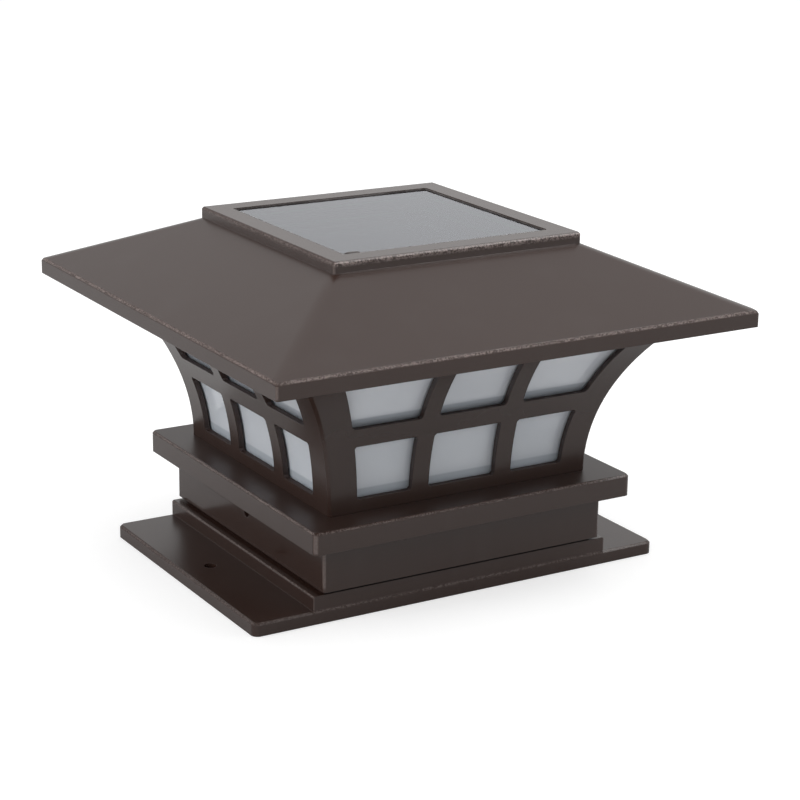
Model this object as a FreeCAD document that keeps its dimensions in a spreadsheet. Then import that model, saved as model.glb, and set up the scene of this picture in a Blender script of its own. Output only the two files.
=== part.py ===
"""Solar deck post cap light on a flat mounting base, in millimetres, +Z up.

The origin is the centre of the base's underside. The broad face of the base looks
along -Y, and its two screw flanges lie along X.
"""
import FreeCAD, Part
import math
import os
import re
import Sketcher
from FreeCAD import Placement, Rotation, Vector

# Driving dimensions. A height is measured from the underside of the base, and a
# "half" or an "offset" from the light's upright axis.
DIMENSIONS = {
    # mounting base
    "base_half_length": 96.4, "base_half_depth": 65.0, "base_corner": 3.0,
    "base_edge": 1.0, "flange_top": 5.6, "tray_half": 70.1, "tray_top": 12.0,
    "skirt_half": 63.3, "skirt_top": 33.0, "flange_hole_offset": 83.4,
    "flange_hole_radius": 2.5, "flange_boss_radius": 6.5, "flange_rib": 2.0,
    "flange_rib_pitch": 22.0, "side_boss_half": 4.0, "side_boss_length": 5.0,
    # collar: neck, cornice and deck
    "wall": 2.4, "neck_half": 66.46, "neck_bottom": 13.2, "neck_corner": 1.6,
    "side_hole_height": 26.4, "side_hole_radius": 2.25,
    "cornice_half": 75.2, "cornice_bottom": 33.1, "cornice_top": 42.4,
    "cornice_corner": 2.5, "cornice_edge": 0.9, "deck_bottom": 40.0,
    "web_thick": 1.6, "stop_rib_reach": 5.0, "stop_rib_offset": 36.0,
    "locator_gap": 0.4, "locator_height": 2.2, "locator_half": 20.0,
    # flared lantern and its frosted panes
    "lantern_half": 61.4, "flare_radius": 94.8, "lantern_top": 110.8,
    "lantern_wall": 2.5, "lantern_edge": 1.1, "ledge_thick": 2.5, "ledge_inner": 50.0,
    "lower_row_bottom": 47.9, "lower_row_top": 71.4,
    "upper_row_bottom": 79.7, "upper_row_top": 103.4,
    "mullion_inner": 15.8, "mullion_outer": 23.6, "post_width": 12.8,
    "window_corner": 0.9, "foot_boss_top": 54.0, "foot_boss_radius": 4.0,
    "tab_inner": 66.0, "tab_thick": 3.0,
    "pane_front": 3.3, "pane_back": 4.9, "pane_edge": 7.0, "pane_top": 107.4,
    # roof
    "gasket_thick": 0.8, "soffit_bottom": 111.6, "soffit_top": 114.0,
    "soffit_half": 107.3, "roof_half": 110.0, "fascia_bottom": 110.0,
    "fascia_top": 116.7, "fascia_corner": 1.0, "fascia_edge": 0.9, "hip_edge": 10.0,
    "bezel_half": 57.7, "bezel_base": 139.5, "bezel_top": 144.2, "bezel_corner": 1.0,
    "bezel_edge": 0.8, "hollow_eaves": 115.1, "hollow_half_top": 62.9,
    "hollow_top": 134.6, "rim_hollow_outer": 55.3, "rim_hollow_inner": 50.2,
    "rim_hollow_top": 141.8, "roof_boss_radius": 4.0, "roof_pilot_depth": 10.0,
    "soffit_pilot_depth": 4.0, "lead_hole_radius": 4.5, "lead_hole_offset": 14.0,
    # solar panel, bedded in the bezel
    "panel_opening": 47.8, "opening_corner": 0.7, "panel_half": 47.5,
    "panel_bed": 137.7, "tape_thick": 0.8, "tape_width": 6.0,
    "panel_board_thick": 1.6, "cell_thick": 0.3, "panel_rim": 0.4,
    "panel_rim_inner": 46.0, "glass_thick": 3.0,
    "cell_half_length": 45.0, "cell_strip_pitch": 15.0, "cell_strip_gap": 0.8,
    # electronics pod, hung in the deck
    "pod_half_length": 32.0, "pod_half_width": 28.0, "pod_wall": 2.0,
    "pod_top": 62.0, "pod_fit": 0.4, "flange_half_length": 46.0,
    "flange_half_width": 36.0, "plate_thick": 2.0, "plate_corner": 1.5, "pod_flange_bottom": 37.2,
    "deck_boss_top": 47.4, "deck_boss_radius": 3.6, "divider_back": -7.0,
    "divider_front": -9.0, "post_radius": 2.5, "post_x": 24.0, "board_post_y": 19.0,
    "led_post_y": 3.0, "led_post_bottom": 54.0,
    # battery bay and its hinged door
    "battery_radius": 7.25, "battery_length": 49.5, "battery_nub_radius": 2.7,
    "battery_nub_length": 1.2, "battery_y": -17.5, "battery_z": 48.6,
    "battery_nub_tip": 28.7, "spring_half_width": 3.5, "spring_rise": 5.5,
    "spring_foot": 1.5, "spring_thick": 0.4, "contact_thick": 0.5,
    "contact_half": 6.5, "contact_tab_drop": 4.0,
    "contact_bump_half": 2.0,
    "door_half": 31.6, "door_front": -28.0, "door_back": -7.2, "door_fit": 0.3,
    "door_thick": 1.45, "seal_thick": 0.5, "seal_width": 1.6, "hinge_y": -30.6,
    "hinge_z": 34.6, "knuckle_radius": 2.0, "pin_radius": 1.0, "pin_fit": 0.05,
    "pin_half": 29.0, "door_knuckle_half": 20.0, "knuckle_gap": 0.4,
    "latch_half": 6.0, "latch_front": -10.6, "latch_back": -9.7, "latch_top": 38.6,
    # boards, switch and LEDs
    "board_thick": 1.6, "board_bottom": 46.0, "board_half": 29.5,
    "board_front": -5.0, "board_back": 25.0, "led_board_half_length": 28.0,
    "led_board_half_width": 22.0, "led_pitch_x": 14.0, "led_pitch_y": 15.0,
    "led_half_length": 1.75, "led_half_width": 1.4, "led_height": 0.8,
    "link_y": 10.0, "link_pitch": 2.54, "link_pin_half": 0.3,
    "switch_x": 12.0, "switch_y": 14.0, "switch_half_length": 7.0,
    "switch_half_width": 3.5, "switch_height": 4.6, "slider_half_length": 1.6,
    "slider_half_width": 1.5, "slider_depth": 2.0, "slider_tip": 36.0,
    "slider_fit": 0.3, "switch_travel": 3.0,
    # reflector, grommet and leads
    "reflector_half": 62.0, "reflector_tip_half": 9.0, "reflector_tip": 104.0,
    "reflector_thick": 1.5, "reflector_rim": 10.5, "grommet_rim": 6.0,
    "grommet_lip": 1.0, "grommet_bore": 2.8, "lead_radius": 0.8, "lead_spacing": 1.4,
    "lead_upper_bend": 129.0, "lead_lower_bend": 119.0,
    # screws
    "screw_radius": 1.45, "pilot_radius": 1.5, "clear_radius": 1.9,
    "screw_head_radius": 3.0, "screw_head": 1.8, "small_screw_radius": 0.95,
    "small_pilot_radius": 1.0, "small_pilot_depth": 7.5, "small_head_radius": 1.9,
    "small_head": 1.2,
    "foot_screw_offset": 51.5, "roof_screw_offset": 74.0, "pod_screw_x": 41.5,
    "pod_screw_y": 31.5, "soffit_screw_offset": 99.0,
}

SCREW_SIDES = 6     # screw shanks and the hidden holes that they enter
BOSS_SIDES = 8      # screw heads, bosses and the insulation of the leads
LEAD_SIDES = 12     # hidden holes and rubber parts that the leads pass through
BEND_STEPS = 3      # straight runs that make one bend of a lead

NODES = []          # finished sub-parts, in the order they are made


# ------------------------------------------------------------ document and its sheet

doc = FreeCAD.newDocument("PostCapLight")


def fill_sheet():
    """The driving dimensions as named cells."""
    sheet = doc.addObject("Spreadsheet::Sheet", "Dimensions")
    for row, (name, number) in enumerate(DIMENSIONS.items(), start=1):
        sheet.set("A%d" % row, name)
        sheet.set("B%d" % row, str(number))
        sheet.setAlias("B%d" % row, name)
    doc.recompute()


def formula(text):
    """A formula with its dimension names turned into references to the sheet."""
    def cell(match):
        word = match.group()
        return "Dimensions." + word if word in DIMENSIONS else word
    return re.sub(r"[a-z_]+", cell, str(text))


def bind(item, prop, text):
    """Tie one property of an object to a formula of driving dimensions."""
    item.setExpression(prop, formula(text))


def node(item, name):
    """Mark an object as a finished sub-part with its own name."""
    item.Label = name
    NODES.append(item)
    return item


def minus(text):
    return "-(%s)" % text


def both_ways(half):
    """The span from -half to +half."""
    return minus(half), half


# ------------------------------------------------------------ Part primitives

def place(item, x, y, z):
    """Tie an object's position to three formulas."""
    for axis, text in zip("xyz", (x, y, z)):
        bind(item, "Placement.Base." + axis, text)


def block(name, xs, ys, zs):
    """A box between two formulas along each axis."""
    item = doc.addObject("Part::Box", name)
    for prop, (low, high) in zip(("Length", "Width", "Height"), (xs, ys, zs)):
        bind(item, prop, "(%s) - (%s)" % (high, low))
    place(item, xs[0], ys[0], zs[0])
    return item


def turned_block(name, xs, ys, zs, turn):
    """A box after some quarter turns about the light's axis."""
    for _ in range(turn):
        xs, ys = (minus(ys[1]), minus(ys[0])), xs
    return block(name, xs, ys, zs)


AXIS_TURNS = {"x": Rotation(Vector(0, 1, 0), 90), "y": Rotation(Vector(1, 0, 0), -90),
              "z": Rotation()}


def rod(name, radius, start, length, axis="z"):
    """A cylinder from a start point along +X, +Y or +Z."""
    item = doc.addObject("Part::Cylinder", name)
    bind(item, "Radius", radius)
    bind(item, "Height", length)
    item.Placement = Placement(Vector(), AXIS_TURNS[axis])
    place(item, *start)
    return item


def prism(name, count, radius, start, length):
    """An upright prism with so many sides, from a start point."""
    item = doc.addObject("Part::Prism", name)
    item.Polygon = count
    bind(item, "Circumradius", radius)
    bind(item, "Height", length)
    place(item, *start)
    return item


def frustum(name, low, high):
    """A four-sided frustum between two squares, each a half size and a height."""
    item = doc.addObject("Part::Wedge", name)
    for axis in "XZ":
        for prefix, half in ((axis, low[0]), (axis + "2", high[0])):
            bind(item, prefix + "min", minus(half))
            bind(item, prefix + "max", half)
    bind(item, "Ymin", low[1])
    bind(item, "Ymax", high[1])
    item.Placement = Placement(Vector(), Rotation(Vector(1, 0, 0), 90))
    return item


def fuse(name, parts):
    item = doc.addObject("Part::MultiFuse", name)
    item.Shapes = parts
    item.Refine = True
    return item


def cut(name, base, tools):
    """The base less a list of tools."""
    item = doc.addObject("Part::Cut", name)
    item.Base = base
    item.Tool = tools[0] if len(tools) == 1 else fuse(name + "_tools", tools)
    item.Refine = True
    return item


def common(name, first, second):
    item = doc.addObject("Part::Common", name)
    item.Base = first
    item.Tool = second
    item.Refine = True
    return item


def group(name, parts):
    """Several separate solids that share one node."""
    item = doc.addObject("Part::Compound", name)
    item.Links = parts
    return item


def rounded(name, base, radius, wanted, kind="Fillet"):
    """A shape with the edges rounded, or chamfered, that a test picks out."""
    doc.recompute()
    size = DIMENSIONS[radius]
    item = doc.addObject("Part::" + kind, name)
    item.Base = base
    item.Edges = [(index, size, size)
                  for index, edge in enumerate(base.Shape.Edges, start=1)
                  if wanted(edge)]
    return item


def ring(name, outer, inner, zs):
    """A flat ring between an outer and an inner pair of half sizes."""
    disc = block(name + "_outer", both_ways(outer[0]), both_ways(outer[1]), zs)
    hole = block(name + "_inner", both_ways(inner[0]), both_ways(inner[1]), zs)
    return cut(name, disc, [hole])


def corners(x, y):
    """The four places of a rectangular screw pattern."""
    return [(a + "(%s)" % x, b + "(%s)" % y) for a in "+-" for b in "+-"]


def sides(offset):
    """The middles of the four sides at one offset."""
    return [("+(%s)" % offset, "0"), ("0", "+(%s)" % offset),
            (minus(offset), "0"), ("0", minus(offset))]


def rods(name, radius, places, bottom, length):
    """Upright cylinders, one at each place."""
    return [rod("%s_%d" % (name, index), radius, (x, y, bottom), length)
            for index, (x, y) in enumerate(places)]


def prisms(name, count, radius, places, bottom, length):
    """Upright prisms, one at each place."""
    return [prism("%s_%d" % (name, index), count, radius, (x, y, bottom), length)
            for index, (x, y) in enumerate(places)]


def screw_holes(name, radius, places, bottom, length):
    return prisms(name, SCREW_SIDES, radius, places, bottom, length)


def bosses_at(name, radius, places, bottom, length):
    return prisms(name, BOSS_SIDES, radius, places, bottom, length)


def quarter_turned(item, turn):
    """The same object turned about the light's axis."""
    item.Placement = Placement(Vector(), Rotation(Vector(0, 0, 1), 90 * turn))
    return item


# ------------------------------------------------------------ PartDesign features

def new_body(name):
    return doc.addObject("PartDesign::Body", name)


def add_rectangle(sketch, half_x, half_y):
    """A rectangle about the sketch's origin, driven by its two half sizes."""
    first = sketch.GeometryCount
    points = [Vector(-10, -10), Vector(10, -10), Vector(10, 10), Vector(-10, 10)]
    for start, end in zip(points, points[1:] + points[:1]):
        sketch.addGeometry(Part.LineSegment(start, end))
    for side in range(4):
        sketch.addConstraint(Sketcher.Constraint(
            "Coincident", first + side, 2, first + (side + 1) % 4, 1))
        sketch.addConstraint(Sketcher.Constraint(
            ("Horizontal", "Vertical")[side % 2], first + side))
    sketch.addConstraint(Sketcher.Constraint(
        "Symmetric", first, 1, first + 2, 1, -1, 1))
    for kind, side, half in (("DistanceX", 0, half_x), ("DistanceY", 1, half_y)):
        index = sketch.addConstraint(Sketcher.Constraint(
            kind, first + side, 1, first + side, 2, 20))
        bind(sketch, "Constraints[%d]" % index, "2 * (%s)" % half)


def flat_sketch(body, name, height, *rectangles):
    """A level sketch at a height, with one rectangle per pair of half sizes."""
    sketch = body.newObject("Sketcher::SketchObject", name)
    level_plane = next(item for item in body.Origin.OriginFeatures
                       if item.Role == "XY_Plane")
    sketch.AttachmentSupport = [(level_plane, "")]
    sketch.MapMode = "FlatFace"
    bind(sketch, "AttachmentOffset.Base.z", height)
    for half_x, half_y in rectangles:
        add_rectangle(sketch, half_x, half_y)
    return sketch


def pad(body, sketch, length):
    item = body.newObject("PartDesign::Pad", sketch.Label + "_pad")
    item.Profile = sketch
    bind(item, "Length", length)
    return item


def pocket_up(body, sketch, length):
    """A pocket that runs up from its sketch."""
    item = body.newObject("PartDesign::Pocket", sketch.Label + "_pocket")
    item.Profile = sketch
    item.Reversed = True
    bind(item, "Length", length)
    return item


def round_body(body, name, size, wanted, kind="Fillet"):
    """Round, or chamfer, the edges of the body so far that a test picks out."""
    doc.recompute()
    tip = body.Tip
    edges = ["Edge%d" % index for index, edge in enumerate(tip.Shape.Edges, start=1)
             if wanted(edge)]
    item = body.newObject("PartDesign::" + kind, name)
    item.Base = (tip, edges)
    bind(item, "Radius" if kind == "Fillet" else "Size", size)
    return item


# ------------------------------------------------------------ tests for edges

def spans(edge):
    """The lengths of an edge's bounding box along X, Y and Z."""
    box = edge.BoundBox
    return box.XLength, box.YLength, box.ZLength


def runs_along(edge, axis):
    """True for an edge that runs straight along one axis."""
    across = [span for index, span in enumerate(spans(edge)) if index != axis]
    return max(across) < 0.01 < spans(edge)[axis]


def upright(edge, low, high):
    """True for an upright edge between two named heights."""
    box = edge.BoundBox
    return (runs_along(edge, 2) and box.ZMin > DIMENSIONS[low] - 0.01
            and box.ZMax < DIMENSIONS[high] + 0.01)


def rim(edge, height, half):
    """True for a level edge at a named height that reaches a named half size."""
    box = edge.BoundBox
    reach = max(abs(box.XMin), box.XMax, abs(box.YMin), box.YMax)
    return (spans(edge)[2] < 0.01 and abs(box.ZMin - DIMENSIONS[height]) < 0.01
            and abs(reach - DIMENSIONS[half]) < 0.05)


# ------------------------------------------------------------ mounting base

def base_underside():
    """The room under the flanges and the tray, less ribs and screw bosses."""
    rooms = []
    keep = []
    across = both_ways("base_half_depth - wall")
    for turn in (0, 2):
        rooms.append(turned_block(
            "flange_room_%d" % turn, ("skirt_half", "base_half_length - wall"),
            across, ("0", "flange_top - wall"), turn))
        rooms.append(turned_block(
            "tray_room_%d" % turn, ("skirt_half", "tray_half - wall"),
            across, ("0", "tray_top - wall"), turn))
        for step in (-2, -1, 1, 2):
            middle = "%d * flange_rib_pitch" % step
            keep.append(turned_block(
                "flange_rib_%d_%d" % (turn, step + 2),
                ("skirt_half", "base_half_length"),
                (middle + " - flange_rib / 2", middle + " + flange_rib / 2"),
                ("0.8", "tray_top"), turn))
    keep += bosses_at("flange_boss", "flange_boss_radius",
                      [("flange_hole_offset", "0"), ("-flange_hole_offset", "0")],
                      "0", "flange_top")
    return cut("underside", fuse("under_rooms", rooms), keep)


def make_mounting_base():
    """Flanges, raised tray and the open skirt that the neck slips over."""
    body = new_body("base_body")
    flange = flat_sketch(body, "flange", "0", ("base_half_length", "base_half_depth"))
    pad(body, flange, "flange_top")
    round_body(body, "flange_corners", "base_corner", lambda e: runs_along(e, 2))
    round_body(body, "flange_edges", "base_edge",
               lambda e: rim(e, "flange_top", "base_half_length"), "Chamfer")
    tray = flat_sketch(body, "tray", "flange_top - 1.5", ("tray_half", "base_half_depth"))
    pad(body, tray, "tray_top - flange_top + 1.5")
    round_body(body, "tray_edges", "base_edge",
               lambda e: rim(e, "tray_top", "tray_half") and runs_along(e, 1))
    skirt = flat_sketch(body, "skirt", "tray_top", ("skirt_half", "skirt_half"))
    pad(body, skirt, "skirt_top - tray_top")
    inner = "skirt_half - wall"
    opening = flat_sketch(body, "skirt_opening", "0", (inner, inner))
    pocket_up(body, opening, "skirt_top")
    shell = cut("base_shell", body, [base_underside()])

    bosses = [turned_block("side_boss_%d" % turn,
                           ("skirt_half - wall - side_boss_length", "skirt_half - 1"),
                           both_ways("side_boss_half"),
                           ("side_hole_height - side_boss_half",
                            "side_hole_height + side_boss_half"), turn)
              for turn in (0, 2)]
    pilots = rod("side_pilots", "pilot_radius", ("-tray_half", "0", "side_hole_height"),
                 "2 * tray_half", "x")
    holes = rods("flange_hole", "flange_hole_radius",
                 [("flange_hole_offset", "0"), ("-flange_hole_offset", "0")],
                 "-1", "flange_top + 2")
    solid = fuse("base_with_bosses", [shell] + bosses)
    node(cut("base_drilled", solid, [pilots] + holes), "mounting_base")


# ------------------------------------------------------------ collar

def make_post_collar():
    """Neck, hollow cornice and deck, with stops for the skirt or a post's top."""
    body = new_body("collar_body")
    cornice = flat_sketch(body, "cornice", "cornice_bottom",
                          ("cornice_half", "cornice_half"))
    pad(body, cornice, "cornice_top - cornice_bottom")
    round_body(body, "cornice_corners", "cornice_corner", lambda e: runs_along(e, 2))
    round_body(body, "cornice_rim", "cornice_edge",
               lambda e: rim(e, "cornice_top", "cornice_half"), "Chamfer")
    neck = flat_sketch(body, "neck", "neck_bottom", ("neck_half", "neck_half"))
    pad(body, neck, "cornice_bottom - neck_bottom")
    round_body(body, "neck_corners", "neck_corner",
               lambda e: upright(e, "neck_bottom", "cornice_bottom"))
    inner = "neck_half - wall"
    socket = flat_sketch(body, "socket", "neck_bottom", (inner, inner))
    pocket_up(body, socket, "deck_bottom - neck_bottom")

    lip = "cornice_half - wall"
    groove = ring("cornice_groove", (lip, lip), ("neck_half", "neck_half"),
                  ("cornice_bottom - 1", "deck_bottom"))
    extras = []
    for turn in range(4):
        extras.append(turned_block(
            "locator_%d" % turn, ("ledge_inner - locator_gap - wall",
                                  "ledge_inner - locator_gap"),
            both_ways("locator_half"),
            ("cornice_top - 1", "cornice_top + locator_height"), turn))
        for side in "+-":
            middle = side + "stop_rib_offset"
            ys = (middle + " - web_thick / 2", middle + " + web_thick / 2")
            extras.append(turned_block(
                "stop_rib_%d%s" % (turn, side), ("neck_half - wall - stop_rib_reach",
                                                 "neck_half - 1"),
                ys, ("skirt_top", "deck_bottom + 1"), turn))
            extras.append(turned_block(
                "web_%d%s" % (turn, side), ("neck_half - 1", "cornice_half - 1"),
                ys, ("cornice_bottom + 1.5", "deck_bottom + 1"), turn))
    extras += bosses_at("deck_boss", "deck_boss_radius", corners("pod_screw_x", "pod_screw_y"),
                   "deck_bottom", "deck_boss_top - deck_bottom")
    solid = fuse("collar_with_ribs", [cut("collar_shell", body, [groove])] + extras)

    holes = [block("pod_cutout", both_ways("pod_half_length + pod_fit"),
                   both_ways("pod_half_width + pod_fit"),
                   ("deck_bottom - 1", "cornice_top + 1")),
             rod("side_holes", "side_hole_radius",
                 ("-cornice_half", "0", "side_hole_height"), "2 * cornice_half", "x")]
    holes += screw_holes("foot_clearance", "clear_radius",
                  corners("foot_screw_offset", "foot_screw_offset"),
                  "deck_bottom - 1", "wall + 2")
    holes += screw_holes("pod_pilot", "pilot_radius", corners("pod_screw_x", "pod_screw_y"),
                  "deck_bottom - 1", "deck_boss_top - deck_bottom")
    node(cut("collar_drilled", solid, holes), "post_collar")


# ------------------------------------------------------------ flared lantern

def flare_cutter(name, offset, turn):
    """The big cylinder outside one side, an offset in from the lantern's face."""
    item = doc.addObject("Part::Cylinder", name)
    bind(item, "Radius", "flare_radius + (%s)" % offset)
    bind(item, "Height", "4 * roof_half")
    upright_turn = Rotation(Vector(0, 0, 1), 90 * turn)
    item.Placement = Placement(Vector(), upright_turn.multiply(AXIS_TURNS["x"]))
    far = "lantern_half + flare_radius"
    start = (("-2 * roof_half", minus(far)), (far, "-2 * roof_half"),
             ("2 * roof_half", far), (minus(far), "2 * roof_half"))[turn]
    place(item, start[0], start[1], "cornice_top")
    return item


def flared_block(name, offset, low, high):
    """A square block whose four sides follow the flare at one offset."""
    whole = block(name + "_block", both_ways("roof_half"), both_ways("roof_half"),
                  (low, high))
    return cut(name, whole, [flare_cutter("%s_flare_%d" % (name, turn), offset, turn)
                             for turn in range(4)])


def window_cutter(name, column, low, high, turn):
    """A cutter with clipped corners for one window and the one opposite it."""
    depth = both_ways("roof_half")
    rows = (low, high)
    if column == 0:
        opening = block(name + "_block", both_ways("mullion_inner"), depth, rows)
    else:
        span = ("mullion_outer", "roof_half")
        if column < 0:
            span = ("-roof_half", "-mullion_outer")
        whole = block(name + "_block", span, depth, rows)
        post = flare_cutter(name + "_post", "post_width", 1 if column > 0 else 3)
        opening = cut(name + "_opening", whole, [post])
    item = rounded(name, opening, "window_corner", lambda e: runs_along(e, 1), "Chamfer")
    return quarter_turned(item, turn)


def make_lantern_frame():
    """Lattice of posts, rails and mullions, with feet and top tabs inside."""
    outer = rounded("flare_bevelled", flared_block("flare", "0", "cornice_top",
                                                   "lantern_top"),
                    "lantern_edge", lambda e: spans(e)[2] > 10, "Chamfer")
    core = flared_block("flare_core", "lantern_wall", "cornice_top", "lantern_top")
    windows = []
    for turn in (0, 1):
        for row in ("lower", "upper"):
            for column in (-1, 0, 1):
                windows.append(window_cutter(
                    "window_%s_%d_%d" % (row, turn, column + 1), column,
                    row + "_row_bottom", row + "_row_top", turn))
    lattice = cut("lattice", outer, [core] + windows)

    ledge = ring("ledge", ("roof_half", "roof_half"), ("ledge_inner", "ledge_inner"),
                 ("cornice_top", "cornice_top + ledge_thick"))
    feet = bosses_at("foot_boss", "foot_boss_radius",
                corners("foot_screw_offset", "foot_screw_offset"),
                "cornice_top", "foot_boss_top - cornice_top")
    tabs = []
    for turn in range(4):
        tabs.append(turned_block(
            "top_tab_%d" % turn, ("tab_inner", "roof_half"), ("tab_inner", "roof_half"),
            ("lantern_top - tab_thick", "lantern_top"), turn))
    inside = common("lattice_inside", fuse("lattice_extras", [ledge] + feet + tabs), outer)
    holes = screw_holes("foot_pilot", "pilot_radius",
                 corners("foot_screw_offset", "foot_screw_offset"),
                 "cornice_top - 1", "foot_boss_top - cornice_top - 1")
    holes += screw_holes("tab_hole", "clear_radius",
                  corners("roof_screw_offset", "roof_screw_offset"),
                  "lantern_top - tab_thick - 1", "tab_thick + 2")
    node(cut("lattice_drilled", fuse("lattice_whole", [lattice, inside]), holes),
         "lantern_frame")


def make_diffusers():
    """Four curved frosted panes that stand on the ledge behind the lattice."""
    for turn, side in enumerate(("front", "right", "back", "left")):
        name = "pane_" + side
        slab = block(name + "_slab", both_ways("roof_half"), ("-roof_half", "-ledge_inner"),
                     ("cornice_top + ledge_thick", "pane_top"))
        backed = common(name + "_backed", slab, flare_cutter(name + "_back", "pane_back", 0))
        outside = [flare_cutter(name + "_front", "pane_front", 0),
                   flare_cutter(name + "_edge_right", "pane_edge", 1),
                   flare_cutter(name + "_edge_left", "pane_edge", 3)]
        node(quarter_turned(cut(name, backed, outside), turn), "diffuser_" + side)


# ------------------------------------------------------------ roof

def make_roof_cover():
    """Hipped roof, fascia and bezel, hollow below with bosses for screws."""
    slope = "(roof_half - bezel_half) / (bezel_base - fascia_top)"
    foot = "roof_half + (fascia_top - fascia_bottom) * " + slope
    hips = rounded("hips_rounded", frustum("hips", (foot, "fascia_bottom"),
                                           ("bezel_half", "bezel_base")),
                   "hip_edge", lambda e: min(spans(e)) > 10)
    walls = rounded("fascia_walls", block("fascia_block", both_ways("roof_half"),
                                          both_ways("roof_half"),
                                          ("fascia_bottom", "bezel_top")),
                    "fascia_corner", lambda e: runs_along(e, 2))
    eaves = DIMENSIONS["fascia_top"]
    outside = rounded("eaves_rounded", common("hipped", hips, walls), "fascia_edge",
                      lambda e: e.BoundBox.ZMin > eaves - 0.1
                      and e.BoundBox.ZMax < eaves + 0.5, "Chamfer")
    bezel = new_body("bezel_body")
    pad(bezel, flat_sketch(bezel, "bezel", "hollow_top", ("bezel_half", "bezel_half")),
        "bezel_top - hollow_top")
    round_body(bezel, "bezel_corners", "bezel_corner", lambda e: runs_along(e, 2))
    round_body(bezel, "bezel_rim", "bezel_edge",
               lambda e: rim(e, "bezel_top", "bezel_half"), "Chamfer")
    recess = rounded("recess", block("recess_block", both_ways("panel_opening"),
                                     both_ways("panel_opening"),
                                     ("panel_bed", "bezel_top + 1")),
                     "opening_corner", lambda e: runs_along(e, 2), "Chamfer")
    body = cut("roof_recessed", fuse("roof_outside", [outside, bezel]), [recess])

    inner = both_ways("roof_half - wall")
    hollow = fuse("roof_hollow", [
        block("eaves_hollow", inner, inner, ("fascia_bottom - 1", "hollow_eaves")),
        frustum("hip_hollow", ("roof_half - wall", "hollow_eaves"),
                ("hollow_half_top", "hollow_top")),
        ring("rim_hollow", ("rim_hollow_outer", "rim_hollow_outer"),
             ("rim_hollow_inner", "rim_hollow_inner"), ("hollow_top", "rim_hollow_top"))])
    screws = corners("roof_screw_offset", "roof_screw_offset")
    edges = sides("soffit_screw_offset")
    bosses = bosses_at("roof_boss", "roof_boss_radius", screws + edges,
                         "soffit_top", "hollow_top - soffit_top")
    shell = cut("roof_shell", body, [cut("roof_room", hollow, bosses)])
    holes = screw_holes("roof_pilot", "pilot_radius", screws, "soffit_top - 1",
                        "roof_pilot_depth + 1")
    holes += screw_holes("soffit_pilot", "pilot_radius", edges, "soffit_top - 1",
                         "soffit_pilot_depth + 1")
    holes.append(prism("lead_hole", LEAD_SIDES, "lead_hole_radius",
                       ("lead_hole_offset", "0", "hollow_top - 1"),
                       "panel_bed - hollow_top + 2"))
    node(cut("roof_drilled", shell, holes), "roof_cover")


def make_soffit_plate():
    """The plate that closes the roof from below."""
    plate = block("soffit_blank", both_ways("soffit_half"), both_ways("soffit_half"),
                  ("soffit_bottom", "soffit_top"))
    blank = rounded("soffit_clipped", plate, "plate_corner", lambda e: runs_along(e, 2),
                    "Chamfer")
    holes = screw_holes("soffit_hole", "clear_radius",
                        corners("roof_screw_offset", "roof_screw_offset")
                        + sides("soffit_screw_offset"), "soffit_bottom - 1", "wall + 2")
    holes.append(prism("grommet_hole", LEAD_SIDES, "lead_hole_radius",
                       ("0", "0", "soffit_bottom - 1"), "wall + 2"))
    node(cut("soffit_drilled", blank, holes), "soffit_plate")


def make_roof_gasket():
    """Foam ring between the lantern's top and the soffit."""
    outer = flared_block("gasket_outer", "0.4", "lantern_top", "soffit_bottom")
    tabs = ring("gasket_ring", ("roof_half", "roof_half"), ("tab_inner", "tab_inner"),
                ("lantern_top", "soffit_bottom"))
    inner = flared_block("gasket_inner", "3.4", "lantern_top - 1", "soffit_bottom + 1")
    corners_kept = []
    for turn in range(4):
        corners_kept.append(turned_block(
            "gasket_corner_%d" % turn, ("tab_inner", "roof_half"),
            ("tab_inner", "roof_half"), ("lantern_top - 1", "soffit_bottom + 1"), turn))
    middle = cut("gasket_middle", inner, corners_kept)
    seal = common("gasket_seal", outer, cut("gasket_band", tabs, [middle]))
    holes = screw_holes("gasket_hole", "clear_radius",
                        corners("roof_screw_offset", "roof_screw_offset"),
                        "lantern_top - 1", "gasket_thick + 2")
    node(cut("gasket_punched", seal, holes), "roof_gasket")


# ------------------------------------------------------------ solar panel

def make_solar_panel():
    """Glass, cell strips, board and tape bed, stacked in the bezel's recess."""
    board_low = "panel_bed + tape_thick"
    board_high = board_low + " + panel_board_thick"
    cells_high = board_high + " + cell_thick"
    inner = "panel_half - tape_width"
    tape = ring("tape", ("panel_half", "panel_half"), (inner, inner),
                ("panel_bed", board_low))
    node(rounded("tape_clipped", tape, "opening_corner",
                 lambda e: runs_along(e, 2)
                 and abs(e.BoundBox.XMin) > DIMENSIONS["panel_half"] - 0.1, "Chamfer"),
         "panel_tape")
    plate = both_ways("panel_half")
    rim_high = board_high + " + panel_rim"
    board = rounded("laminate", block("board_blank", plate, plate, (board_low, rim_high)),
                    "opening_corner", lambda e: runs_along(e, 2), "Chamfer")
    bed = both_ways("panel_rim_inner")
    node(cut("laminate_rimmed", board, [block("cell_bed", bed, bed,
                                              (board_high, rim_high + " + 1"))]),
         "panel_board")
    strips = []
    for step in range(6):
        middle = "%s * cell_strip_pitch" % (step - 2.5)
        reach = "(cell_strip_pitch - cell_strip_gap) / 2"
        strips.append(block("cell_strip_%d" % step, both_ways("cell_half_length"),
                            (middle + " - " + reach, middle + " + " + reach),
                            (board_high, cells_high)))
    node(group("cells", strips), "solar_cells")
    glass = block("glass_blank", plate, plate, (rim_high, rim_high + " + glass_thick"))
    node(rounded("glass", glass, "opening_corner", lambda e: runs_along(e, 2),
                 "Chamfer"), "panel_glass")


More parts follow.
